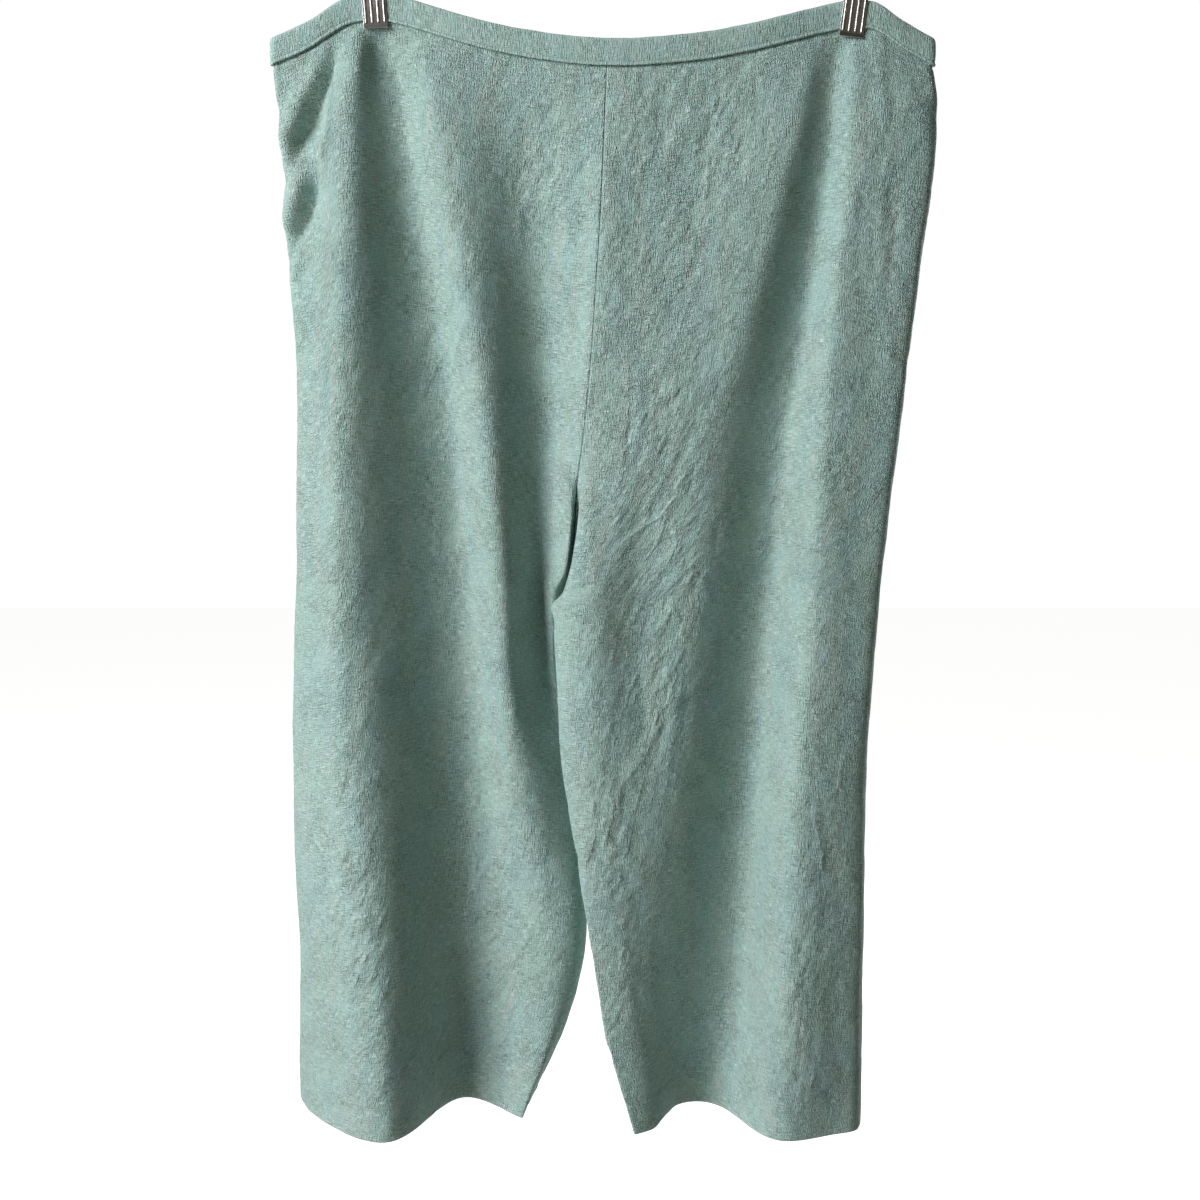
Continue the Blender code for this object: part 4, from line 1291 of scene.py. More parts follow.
@dataclass(frozen=True)
class LinenFinish:
    """Washed mint linen in a slubby plain weave.

    Attributes:
        name: name of the material.
        mint: colour of most threads.
        pale: colour of the slubs and of rubbed edges, and of the painted highlight on the band's
            rolled edges.
        deep: colour between the threads.
        dusk: greyer mint of some warp threads.
        sea: bluer mint of some others.
        ribs: how much the threads down the cloth stand out from those across it.
        relief: height of the weave and of the small crumples, as a share of the panels'.
    """

    # Cells of noise in each millimetre across the cloth and down it
    WARP, WEFT, KNOTS = (1.35, 0.17), (0.13, 1.35), (0.90, 1.10)
    LONG_SLUBS, CROSS_SLUBS, NUBS = (0.62, 0.035), (0.03, 0.62), (0.16, 0.30)
    STREAKS, TIDES = (0.075, 0.007), (0.045, 0.012)
    SOFT_FOLDS, CROSS_FOLDS = (0.075, 0.030), (0.05, 0.09)
    SMALL_FOLDS, FINE_FOLDS, THIN_FOLDS = (0.160, 0.065), (0.330, 0.130), (0.045, 0.020)
    FOLD_LEAN = radians(24.0)     # of all but the cross folds, from the threads
    SLUB_RAMP = (0.52, 0.78)      # noise at which a slub begins and is full

    name: str
    mint: Colour = (0.354, 0.528, 0.462, 1.0)
    pale: Colour = (0.610, 0.765, 0.722, 1.0)
    deep: Colour = (0.172, 0.298, 0.240, 1.0)
    dusk: Colour = (0.390, 0.505, 0.455, 1.0)
    sea: Colour = (0.338, 0.507, 0.488, 1.0)
    ribs: float = 0.0
    relief: float = 1.0

    def material(self) -> Material:
        """Build the material.

        Returns:
            The material.
        """
        finish = Finish(self.name)
        grain = finish.signal("ShaderNodeUVMap", {"uv_map": GRAIN})
        place = finish.scaled(grain, (1.0 / MM, 1.0 / MM, 0.0))
        mark = {label: finish.signal("ShaderNodeAttribute", {"attribute_name": label},
                                     output="Fac") for label in MARKS}
        warp, weft = finish.drawn(place, *self.WARP), finish.drawn(place, *self.WEFT)
        knots = finish.drawn(place, *self.KNOTS)
        weave = warp * (0.8 + self.ribs) + weft * (1.0 - 0.6 * self.ribs) + knots * 0.9
        middle = 0.5 * (2.7 + 0.4 * self.ribs)
        rough = finish.noise(place, 0.03).ramp(0.35, 0.65) * 0.4 + 0.70
        slub = (finish.drawn(place, *self.LONG_SLUBS, 2.0, 0.6).ramp(*self.SLUB_RAMP)
                + finish.drawn(place, *self.CROSS_SLUBS, 2.0, 0.6).ramp(*self.SLUB_RAMP))
        nubs = finish.drawn(place, *self.NUBS).ramp(0.80, 0.86)
        streaks = finish.drawn(place, *self.STREAKS, 2.0, 0.6)
        tides = finish.drawn(place, *self.TIDES, 2.0, 0.6)
        wash = finish.noise(place, 0.035, 3.0, 0.6)
        body = finish.blend(streaks.ramp(0.42, 0.66) * 0.9, self.mint, self.dusk)
        body = finish.blend(tides.ramp(0.45, 0.62) * 0.8, body, self.sea)
        body = finish.blend((weave + slub * -0.12).ramp(middle, middle - 0.50) * rough, body,
                            self.deep)
        # slubs, nubs and worn seams and hems are paler; on the band the wear mark also paints the
        # highlight of its rolled edges
        bright = slub * 0.24 + nubs * 0.45 + mark[WEAR_AND_HIGHLIGHT] * 0.22
        bright = bright + weave.ramp(middle, middle + 0.50) * rough
        body = finish.blend(bright.clamped(), body, self.pale)
        shade = 0.93 + wash * 0.14
        grey = finish.signal("ShaderNodeCombineColor", None, {0: shade, 1: shade, 2: shade})
        body = finish.blend(1.0, body, grey, "MULTIPLY")
        finish.bump((weave * rough * 1.25 + slub * 0.20 + nubs * 0.15) * self.relief
                    + self.creases(finish, place, mark))
        finish.feed(Base_Color=body, Roughness=0.80 + knots * 0.14, Sheen_Weight=0.22,
                    Sheen_Roughness=0.45, Sheen_Tint=(0.80, 0.92, 0.88, 1.0),
                    Specular_IOR_Level=0.22)
        return finish.material

    def creases(self, finish: Finish, place: Signal, mark: dict[str, Signal]) -> Signal:
        """Height in millimetres of the sharp creases and the smallest crumples.

        Args:
            finish: the material under way.
            place: place on the flat cloth.
            mark: signal of each mark.

        Returns:
            The height.
        """
        sway = finish.noise(place, 0.16, 2.0) - 0.5
        crest = abs(mark[CREASE_GAP] + sway * 3.0).ramp(3.2, 0.0) * mark[CREASE_RISE] * 0.75
        turned = finish.signal("ShaderNodeVectorRotate", {"rotation_type": "Z_AXIS"},
                               {"Vector": place, "Angle": self.FOLD_LEAN})
        soft = finish.drawn(turned, *self.SOFT_FOLDS, 1.0, 0.4)
        cross = finish.drawn(place, *self.CROSS_FOLDS, 1.0, 0.4)
        small = finish.drawn(turned, *self.SMALL_FOLDS)
        fine = finish.drawn(turned, *self.FINE_FOLDS)
        thin = finish.borders(finish.scaled(turned, (*self.THIN_FOLDS, 1.0))) + sway * 0.06
        gate = finish.noise(place, 0.060, 1.0).ramp(0.46, 0.58)
        wrinkles = (soft * 2.7 + small * 1.2 + fine * 0.45 + cross * 1.5
                    + thin.ramp(0.13, 0.01) * gate * 0.7)
        return crest + wrinkles * (mark[CRUMPLED] * 1.5 + 0.32) * self.relief


@dataclass(frozen=True)
class ThreadFinish:
    """Twisted sewing thread, a shade paler than the linen.

    Attributes:
        name: name of the material.
        light: colour on the twist.
        dark: colour between its turns.
    """

    name: str
    light: Colour = (0.470, 0.640, 0.560, 1.0)
    dark: Colour = (0.260, 0.400, 0.340, 1.0)

    def material(self) -> Material:
        """Build the material.

        Returns:
            The material.
        """
        finish = Finish(self.name)
        place = finish.signal("ShaderNodeTexCoord", output="Object")
        run = place.part(0) + place.part(2)
        twist = (run * 9000.0).sine() * 0.5 + 0.5
        fuzz = finish.noise(place, 2500.0, 2.0)
        colour = finish.blend(twist * 0.6 + fuzz * 0.4, self.dark, self.light)
        finish.bump(twist * 0.05 + fuzz * 0.03)
        finish.feed(Base_Color=colour, Roughness=0.62 + fuzz * 0.2, Sheen_Weight=0.2,
                    Sheen_Roughness=0.4)
        return finish.material


@dataclass(frozen=True)
class SteelFinish:
    """Nickel-plated steel, brushed and lightly handled.

    Attributes:
        name: name of the material.
        bright: colour of the plating.
        dull: colour where it has tarnished.
        roughness: mean roughness.
    """

    name: str
    bright: Colour = (0.56, 0.54, 0.51, 1.0)
    dull: Colour = (0.30, 0.28, 0.26, 1.0)
    roughness: float = 0.26

    def material(self) -> Material:
        """Build the material.

        Returns:
            The material.
        """
        finish = Finish(self.name)
        place = finish.signal("ShaderNodeTexCoord", output="Object")
        brushed = finish.noise(finish.scaled(place, (260.0, 2600.0, 2600.0)), 1.0, 3.0, 0.6)
        cloudy = finish.noise(place, 90.0, 4.0, 0.6)
        spots = finish.noise(place, 900.0, 2.0).ramp(0.66, 0.74)
        tarnish = (cloudy.ramp(0.42, 0.72) * 0.55 + spots * 0.35).clamped()
        colour = finish.blend(tarnish, self.bright, self.dull)
        rough = self.roughness + brushed * 0.10 + tarnish * 0.22
        finish.bump(brushed * 0.012 + spots * 0.02)
        finish.feed(Base_Color=colour, Metallic=1.0, Roughness=rough)
        return finish.material


@dataclass(frozen=True)
class StudioFinish:
    """Matt pale paper of the studio's floor.

    Attributes:
        name: name of the material.
        light: lighter colour of the paper.
        dark: darker colour of the paper.
        glow: brightness of the paper behind the garment, which lights it from below.
        seen_share: share of that brightness that the paper in front shows to the camera only.
    """

    name: str = "studio_paper"
    light: Colour = (0.66, 0.66, 0.65, 1.0)
    dark: Colour = (0.62, 0.62, 0.61, 1.0)
    glow: float = 0.95
    seen_share: float = 0.85

    def material(self) -> Material:
        """Build the material.

        Returns:
            The material.
        """
        finish = Finish(self.name)
        place = finish.signal("ShaderNodeTexCoord", output="Object")
        behind = place.part(1).ramp(0.2, 1.1)
        cloud = finish.noise(place, 1.5, 3.0)
        colour = finish.blend(cloud, self.dark, self.light)
        seen = finish.signal("ShaderNodeLightPath", output="Is Camera Ray")
        share = (behind + seen * self.seen_share).clamped()
        lit = finish.blend(share, (0.0, 0.0, 0.0, 1.0), (self.glow, self.glow, self.glow, 1.0))
        finish.feed(Base_Color=colour, Roughness=0.9 + cloud * 0.05, Emission_Color=lit,
                    Emission_Strength=1.0)
        return finish.material


# ---- repeated pieces


class GeometryTree(Tree):
    """A Geometry Nodes group with named inputs, run once over an object."""

    def __init__(self, name: str, inputs: dict[str, str]) -> None:
        """Start a group.

        Args:
            name: name of the group.
            inputs: kind of each input after the geometry, by its name.
        """
        group = bpy.data.node_groups.new(name, "GeometryNodeTree")
        group.interface.new_socket("Geometry", in_out="OUTPUT", socket_type="NodeSocketGeometry")
        self.identifiers: dict[str, str] = {}
        for label, kind in {"Geometry": "Geometry", **inputs}.items():
            socket = group.interface.new_socket(label, in_out="INPUT",
                                                socket_type=f"NodeSocket{kind}")
            self.identifiers[label] = socket.identifier
        super().__init__(group)
        self.entry = group.nodes.new("NodeGroupInput")
        self.exit = group.nodes.new("NodeGroupOutput")

    def given(self, label: str) -> Signal:
        """One named input."""
        return Signal(self, self.entry.outputs[label])

    def bead(self, segments: int, rings: int) -> Signal:
        """A smooth ball of radius 1.

        Args:
            segments: faces round it.
            rings: faces from pole to pole.

        Returns:
            The ball.
        """
        ball = self.signal("GeometryNodeMeshUVSphere", None,
                           {"Segments": segments, "Rings": rings, "Radius": 1.0})
        return self.signal("GeometryNodeSetShadeSmooth", None, {0: ball})

    def close(self, geometry: Signal) -> None:
        """End the tree: real geometry with its material.

        Args:
            geometry: what the tree has made.
        """
        real = self.signal("GeometryNodeRealizeInstances", None, {0: geometry})
        self.plug(self.exit, {0: self.signal("GeometryNodeSetMaterial", None, {
            "Geometry": real, "Material": self.given("Material")})})

    def run(self, name: str, source: Mesh, values: dict[str, Any]) -> Object:
        """Run the group over a mesh and keep the plain result.

        Args:
            name: name of the finished object.
            source: mesh that the group starts from.
            values: value of each named input.

        Returns:
            An object with a plain mesh and no modifier.
        """
        item = add_object(name, source)
        modifier = item.modifiers.new("nodes", "NODES")
        modifier.node_group = self.tree
        for label, value in values.items():
            modifier[self.identifiers[label]] = value
        plain = plain_mesh(item)
        item.modifiers.remove(modifier)
        item.data = plain
        plain.name = name
        bpy.data.meshes.remove(source)
        return item


def line_mesh(name: str, points: Array) -> Mesh:
    """An open run of edges through points in millimetres.

    Args:
        name: name of the mesh.
        points: the run.

    Returns:
        The mesh.
    """
    mesh = bpy.data.meshes.new(name)
    edges = [(i, i + 1) for i in range(len(points) - 1)]
    mesh.from_pydata([tuple(point * MM) for point in points], edges, [])
    return mesh


class StitchTree(GeometryTree):
    """Short stitches laid end to end along a line, each a little different."""

    LEAN = (0.05, 0.05, 0.07)      # most that a stitch turns from its row, in radians
    UNEVEN = (0.86, 1.06)          # shortest and longest stitch, as shares of the length

    def __init__(self) -> None:
        """Build the group."""
        super().__init__("stitch_row", {
            "Pitch": "Float", "Stitch length": "Float", "Thread radius": "Float",
            "Seed": "Int", "Material": "Material"})
        curve = self.signal("GeometryNodeMeshToCurve", None, {0: self.given("Geometry")})
        spaced = self.signal("GeometryNodeResampleCurve", {"mode": "LENGTH"},
                             {"Curve": curve, "Length": self.given("Pitch")})
        tangent = self.signal("GeometryNodeInputTangent")
        turn = self.signal("FunctionNodeAlignRotationToVector", {"axis": "X"},
                           {"Vector": tangent})
        most = np.array(self.LEAN)
        lean = self.signal("FunctionNodeRandomValue", {"data_type": "FLOAT_VECTOR"},
                           {0: tuple(-most), 1: tuple(most), "Seed": self.given("Seed")})
        uneven = self.signal("FunctionNodeRandomValue", {"data_type": "FLOAT"},
                             {2: self.UNEVEN[0], 3: self.UNEVEN[1],
                              "Seed": self.given("Seed")}, output=1)
        radius = self.given("Thread radius")
        size = self.vector(self.given("Stitch length") * 0.5 * uneven, radius, radius)
        placed = self.signal("GeometryNodeInstanceOnPoints", None,
                             {"Points": spaced, "Instance": self.bead(6, 5),
                              "Rotation": turn, "Scale": size})
        self.close(self.signal("GeometryNodeRotateInstances", None,
                               {"Instances": placed, "Rotation": lean}))


@dataclass
class Stitching:
    """The visible rows of stitches on the band and the hems.

    Attributes:
        pitch: distance from one stitch to the next.
        length: length of one stitch.
        radius: radius of the thread.
    """

    pitch: float = 3.1
    length: float = 2.7
    radius: float = 0.24

    def sew(self, rows: dict[str, Array]) -> list[Object]:
        """Lay each named row of stitches along its line.

        Args:
            rows: the line of each named row.

        Returns:
            One piece for each row.
        """
        tree = StitchTree()
        pieces = []
        for seed, (name, line) in enumerate(rows.items(), start=3):
            values = {"Pitch": self.pitch * MM, "Stitch length": self.length * MM,
                      "Thread radius": self.radius * MM, "Seed": seed,
                      "Material": ThreadFinish(f"{name}_thread").material()}
            item = tree.run(name, line_mesh(name, line), values)
            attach(item, BODY)
            pieces.append(item)
        return pieces


# ---- hanger


class RibTree(GeometryTree):
    """Upright ribs side by side across a jaw."""

    def __init__(self) -> None:
        """Build the group."""
        super().__init__("jaw_ribs", {
            "Count": "Int", "Pitch": "Float", "Rib width": "Float", "Rib depth": "Float",
            "Rib length": "Float", "Material": "Material"})
        row = self.signal("GeometryNodeMeshLine", {"mode": "OFFSET"}, {
            "Count": self.given("Count"), "Offset": self.vector(self.given("Pitch"))})
        width = self.given("Rib width")
        fitted = self.signal("GeometryNodeTransform", None, {
            "Geometry": self.bead(20, 24),
            "Scale": self.vector(width, self.given("Rib depth"), width)})
        side = self.maths("SIGN", self.signal("GeometryNodeInputPosition").part(2))
        long = self.signal("GeometryNodeSetPosition", None, {
            "Geometry": fitted, "Offset": self.vector(z=side * self.given("Rib length"))})
        self.close(self.signal("GeometryNodeInstanceOnPoints", None,
                               {"Points": row, "Instance": long}))


@dataclass(frozen=True)
class Clip:
    """One spring clip: a ribbed jaw before the band and one behind it.

    Attributes:
        side: wearer's side.
        x: middle of the jaws' lower end.
        height: height of that end.
        lean: degrees by which the clip leans, its lower end towards +X.
        width: width of the jaws.
        wall: thickness of their steel.
        inner: depth from the middle to a jaw's inner side.
        above_bar: height of the jaws above the crossbar.
        lip: height of the outward bend at the lower end.
        rib_count: number of ribs.
        rib_pitch: distance from rib to rib.
        rib_width: width of a rib.
        rib_depth: how far a rib stands out.
        barrel: radius of the roll round the crossbar.
    """

    FOOT = ((0.9, 0.35), (0.75, 1.2), (0.25, 2.6))   # outward bend and height along the lip
    HEAD = ((0.0, 4.0), (0.3, 1.8), (0.9, 0.55))     # outward bend and distance below the top

    side: str
    x: float
    height: float
    lean: float
    width: float = 20.0
    wall: float = 1.1
    inner: float = 3.4
    above_bar: float = 11.0
    lip: float = 4.0
    rib_count: int = 4
    rib_pitch: float = 5.2
    rib_width: float = 1.7
    rib_depth: float = 1.0
    barrel: float = 3.35

    def low(self) -> float:
        """Height of the jaws' lower end before the clip leans."""
        return BAR_Z - (BAR_Z - self.height) / cos(radians(self.lean))

    def leaned(self, item: Object) -> None:
        """Turn a mesh about the bar so that the clip's lower end stands at its x.

        Args:
            item: the upright piece.
        """
        angle = radians(self.lean)
        bar_x = self.x - (BAR_Z - self.height) * tan(angle)
        for vertex in item.data.vertices:
            dx, dz = vertex.co.x, vertex.co.z - BAR_Z * MM
            vertex.co.x = bar_x * MM + dx * cos(angle) - dz * sin(angle)
            vertex.co.z = BAR_Z * MM + dx * sin(angle) + dz * cos(angle)
        item.data.update()

    def plate_line(self, facing: float) -> list[Pair]:
        """Depth and height along the middle of a jaw's plate, from the lip upwards.

        Args:
            facing: -1 for the front jaw and 1 for the back jaw.

        Returns:
            Depth and height of each point.
        """
        middle = self.inner + 0.5 * self.wall
        low, top = self.low(), BAR_Z + self.above_bar
        line = [(middle + out, low + up) for out, up in self.FOOT]
        line += [(middle, low + self.lip), (middle, low + 0.5 * (top - low))]
        line += [(middle + out, top - down) for out, down in self.HEAD]
        return [(facing * depth, height) for depth, height in line]

    def barrel_line(self) -> list[Pair]:
        """Depth and height along the roll that wraps the crossbar, part of the front jaw."""
        return [(self.barrel * cos(angle), BAR_Z + self.barrel * sin(angle))
                for angle in arc(170.0, 395.0, 22)]

    def strips(self, facing: float) -> list[tuple[list[Pair], float]]:
        """Lines of bent sheet steel and the half width of each.

        Args:
            facing: -1 for the front jaw and 1 for the back jaw.

        Returns:
            Each line and its half width.
        """
        strips = [(self.plate_line(facing), 0.5 * self.width)]
        if facing < 0.0:
            strips.append((self.barrel_line(), 0.5 * self.width - 2.0))
        return strips

    def build_jaw(self, facing: float, name: str, material: Material) -> Object:
        """Bend one jaw from sheet steel.

        Args:
            facing: -1 for the front jaw and 1 for the back jaw.
            name: name of the piece.
            material: its finish.

        Returns:
            The jaw, with its wall and its rounded edges as live modifiers.
        """
        work = bmesh.new()
        for line, half in self.strips(facing):
            rows = []
            for depth, height in line:
                rows.append([work.verts.new((x * MM, depth * MM, height * MM))
                             for x in np.linspace(-half, half, 5)])
            for below, above in zip(rows, rows[1:]):
                for i in range(len(below) - 1):
                    work.faces.new((below[i], below[i + 1], above[i + 1], above[i]))
        mesh = close_work(work, bpy.data.meshes.new(name))
        mesh.polygons.foreach_set("use_smooth", np.ones(len(mesh.polygons), dtype=bool))
        mesh.materials.append(material)
        item = add_object(name, mesh)
        self.leaned(item)
        add_wall(item, self.wall, even=True)
        edge = item.modifiers.new("edge", "BEVEL")
        edge.width = 0.3 * MM
        edge.segments = 3
        edge.limit_method = "ANGLE"
        edge.angle_limit = radians(50.0)
        edge.harden_normals = True
        return item

    def build_ribs(self, facing: float, name: str, tree: RibTree,
                   material: Material) -> Object:
        """Press the ribs into one jaw.

        Args:
            facing: -1 for the front jaw and 1 for the back jaw.
            name: name of the piece.
            tree: makes the ribs.
            material: their finish.

        Returns:
            The ribs.
        """
        low = self.low() + self.lip + 0.6
        top = BAR_Z + self.above_bar - 5.0
        start = (-0.5 * (self.rib_count - 1) * self.rib_pitch,
                 facing * (self.inner + self.wall), 0.5 * (low + top))
        values = {"Count": self.rib_count, "Pitch": self.rib_pitch * MM,
                  "Rib width": 0.5 * self.rib_width * MM, "Rib depth": self.rib_depth * MM,
                  "Rib length": 0.5 * (top - low) * MM - 0.5 * self.rib_width * MM,
                  "Material": material}
        item = tree.run(name, bpy.data.meshes.new(f"{name}_seed"), values)
        item.data.transform(Matrix.Translation([part * MM for part in start]))
        self.leaned(item)
        return item

    def build(self, tree: RibTree) -> list[Object]:
        """Make both jaws and their ribs.

        Args:
            tree: makes the ribs.

        Returns:
            The four pieces.
        """
        pieces = []
        for half in Half:
            facing, name = half.value, f"clip_{self.side}_{half.name.lower()}"
            material = SteelFinish(f"{name}_steel").material()
            jaw = self.build_jaw(facing, f"{name}_jaw", material)
            ribs = self.build_ribs(facing, f"{name}_ribs", tree, material)
            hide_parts(name)
            for item in (jaw, ribs):
                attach(item, BODY)
                pieces.append(item)
        return pieces


@dataclass
class Hanger:
    """The wire hook, the crossbar and the two clips.

    Attributes:
        clips: the clips, from the wearer's right.
        wire: radius of the hook's wire.
        hook_radius: radius of the hook's middle line.
        tip: degrees round from +X to the hook's tip.
        turn: degrees at which the wire leaves the circle for its shank.
        bar_radius: radius of the crossbar.
        bar_ends: x of the crossbar's ends.
        stop: radius and length of the stop at each end.
        boss: radius and height of the boss.
        bore: radius of the hole in which the shank stands.
    """

    TIP_ENDS = (0.25, 0.62, 0.86, 0.97)    # shares of the wire's radius towards its round tip
    SHANK_STEPS = 20       # points along the bend from the circle to the shank
    SHANK_BOW = 2.5        # how far the bend swings out
    SHANK_DROP = 15.0      # and how far it comes down
    SHANK_STAND = 3.3      # height of the shank's foot above the boss's lower end
    STOP_EDGE = ((0.0, 0.9), (0.25, 0.35), (0.9, 0.0))   # rounding: along the axis and inwards
    BOSS_EDGE = ((0.0, 1.2), (0.35, 0.4), (1.2, 0.0))
    ROD_END = 3.2          # each half of the rod ends this far beyond the middle, in the boss

    clips: tuple[Clip, ...] = (
        Clip("right", -197.0, -111.5, 3.5),
        Clip("left", 196.0, -118.5, -7.0),
    )
    wire: float = 1.8
    hook_radius: float = 20.0
    tip: float = 205.0
    turn: float = -52.0
    bar_radius: float = 2.0
    bar_ends: Pair = (-229.0, 233.0)
    stop: Pair = (3.6, 7.0)
    boss: Pair = (4.5, 15.0)
    bore: float = 2.1

    def hook_path(self) -> list[Pair]:
        """x and height along the wire: an open circle, then a bend back to the shank.

        Returns:
            The points, from the tip.
        """
        centre = self.wire - self.hook_radius
        path = [(self.hook_radius * cos(angle), centre + self.hook_radius * sin(angle))
                for angle in arc(self.tip, self.turn, 66)]
        end_x, end_z = path[-1]
        for step in range(self.SHANK_STEPS):
            t = (step + 1) / self.SHANK_STEPS
            ease = t * t * (3.0 - 2.0 * t)
            bow = self.SHANK_BOW * sin(pi * t) * (1.0 - t)
            path.append((end_x * (1.0 - ease) - bow, end_z - self.SHANK_DROP * t))
        path.append((0.0, BAR_Z - 0.5 * self.boss[1] + self.SHANK_STAND))
        return path

    def build_hook(self) -> Object:
        """Bend the hook from wire with a rounded tip.

        Returns:
            The hook.
        """
        path = self.hook_path()
        curve = bpy.data.curves.new("hook_wire", "CURVE")
        curve.dimensions = "3D"
        curve.bevel_depth = self.wire * MM
        curve.bevel_resolution = 6
        curve.use_fill_caps = True
        spline = curve.splines.new("POLY")
        first, second = np.array(path[0]), np.array(path[1])
        ahead = (first - second) / np.linalg.norm(first - second)
        cap = [first + ahead * self.wire * (1.0 - end) * 0.9 for end in self.TIP_ENDS]
        points = [tuple(point) for point in cap] + path
        spline.points.add(len(points) - 1)
        for index, (point, (x, z)) in enumerate(zip(spline.points, points)):
            point.co = (x * MM, 0.0, z * MM, 1.0)
            point.radius = self.TIP_ENDS[index] if index < len(self.TIP_ENDS) else 1.0
        item = add_object("hook_wire", curve)
        mesh = plain_mesh(item)
        bpy.data.objects.remove(item, do_unlink=True)
        work = bmesh.new()
        work.from_mesh(mesh)
        bmesh.ops.remove_doubles(work, verts=work.verts, dist=0.00001)
        close_work(work, mesh)
        return self.steel_object("hook_wire", mesh, "hook")

    def turned(self, work: bmesh.types.BMesh, profile: Sequence[Pair],
               upright: bool, segments: int = 40) -> None:
        """Add a turned solid to a mesh.

        Args:
            work: mesh that takes it.
            profile: distance along the axis and radius, from one end on the axis to the other.
            upright: whether the axis is Z through the origin, or X through the bar.
            segments: faces round it.
        """
        rings = []
        for along, radius in profile:
            ring = []
            count = 1 if radius < 1e-6 else segments
            for k in range(count):
                angle = 2.0 * pi * k / segments
                side, lift = radius * cos(angle), radius * sin(angle)
                place = (side, lift, along) if upright else (along, side, BAR_Z + lift)
                ring.append(work.verts.new([part * MM for part in place]))
            rings.append(ring)
        for ring, after in zip(rings, rings[1:]):
            for k in range(segments):
                a, b = ring[k % len(ring)], ring[(k + 1) % len(ring)]
                c, d = after[(k + 1) % len(after)], after[k % len(after)]
                corners = [a] + ([b] if b is not a else []) + [c] + ([d] if d is not c else [])
                work.faces.new(corners)

    def rounded(self, start: float, end: float, radius: float,
                edge: tuple[Pair, ...]) -> list[Pair]:
        """Outline of a turned drum whose two edges are rounded.

        Args:
            start: where its first face stands on the axis.
            end: where its last face stands.
            radius: its radius.
            edge: the rounding, along the axis and inwards.

        Returns:
            Distance along the axis and radius of each point.
        """
        side = copysign(1.0, end - start)
        first = [(start + side * along, radius - inwards) for along, inwards in edge]
        last = [(end - side * along, radius - inwards) for along, inwards in reversed(edge)]
        return first + last

    def build_bar(self) -> Object:
        """Turn the crossbar with its stops, and the boss with its bore.

        Returns:
            The crossbar.
        """
        work = bmesh.new()
        radius, (stop, length) = self.bar_radius, self.stop
        for end, side in ((self.bar_ends[0], 1.0), (self.bar_ends[1], -1.0)):
            inner = end + side * length
            profile = [(end, 0.0), *self.rounded(end, inner, stop, self.STOP_EDGE),
                       (inner, radius + 0.2), (inner + side * 0.3, radius)]
            shaft = np.linspace(inner + side * 4.0, -side * self.ROD_END, 12)
            profile += [(x, radius) for x in shaft] + [(-side * self.ROD_END, 0.0)]
            self.turned(work, profile, upright=False)
        outer, height = self.boss
        low, high = BAR_Z - 0.5 * height, BAR_Z + 0.5 * height
        foot = low + 3.0
        drum = self.rounded(low, high, outer, self.BOSS_EDGE)
        profile = [(low, 0.0), *drum[:3], (BAR_Z, outer), *drum[3:],
                   (high, self.bore + 0.4), (high - 0.4, self.bore),
                   (BAR_Z, self.bore), (foot, self.bore), (foot, 0.0)]
        self.turned(work, profile, upright=True)
        mesh = close_work(work, bpy.data.meshes.new("crossbar_rod"))
        return self.steel_object("crossbar_rod", mesh, "crossbar")

    def steel_object(self, name: str, mesh: Mesh, node: str) -> Object:
        """Dress a finished steel mesh and let it stand for its CAD node.

        Args:
            name: name of the piece.
            mesh: its mesh.
            node: CAD node that it stands for.

        Returns:
            The piece.
        """
        mesh.materials.clear()
        mesh.materials.append(SteelFinish(f"{name}_steel").material())
        mesh.shade_smooth()
        mesh.set_sharp_from_angle(angle=radians(50.0))
        item = add_object(name, mesh)
        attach(item, BODY)
        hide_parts(node)
        return item

    def build(self) -> list[Object]:
        """Make the hook, the crossbar and the clips.

        Returns:
            The pieces.
        """
        pieces = [self.build_hook(), self.build_bar()]
        tree = RibTree()
        for clip in self.clips:
            pieces += clip.build(tree)
        return pieces


# ---- trousers


RIGHT_NOTCHES: tuple[Row, ...] = (
    (-176, 6, 1.3), (-232, 8, 1.7), (-300, 9, 1), (-560, 30, 1.2), (-740, 22, 1), (-905, 26, 1.4),
)
LEFT_NOTCHES: tuple[Row, ...] = (
    (-180, 10, 1), (-384, 9, 1.2), (-610, 26, 1), (-830, 30, 1.2),
)

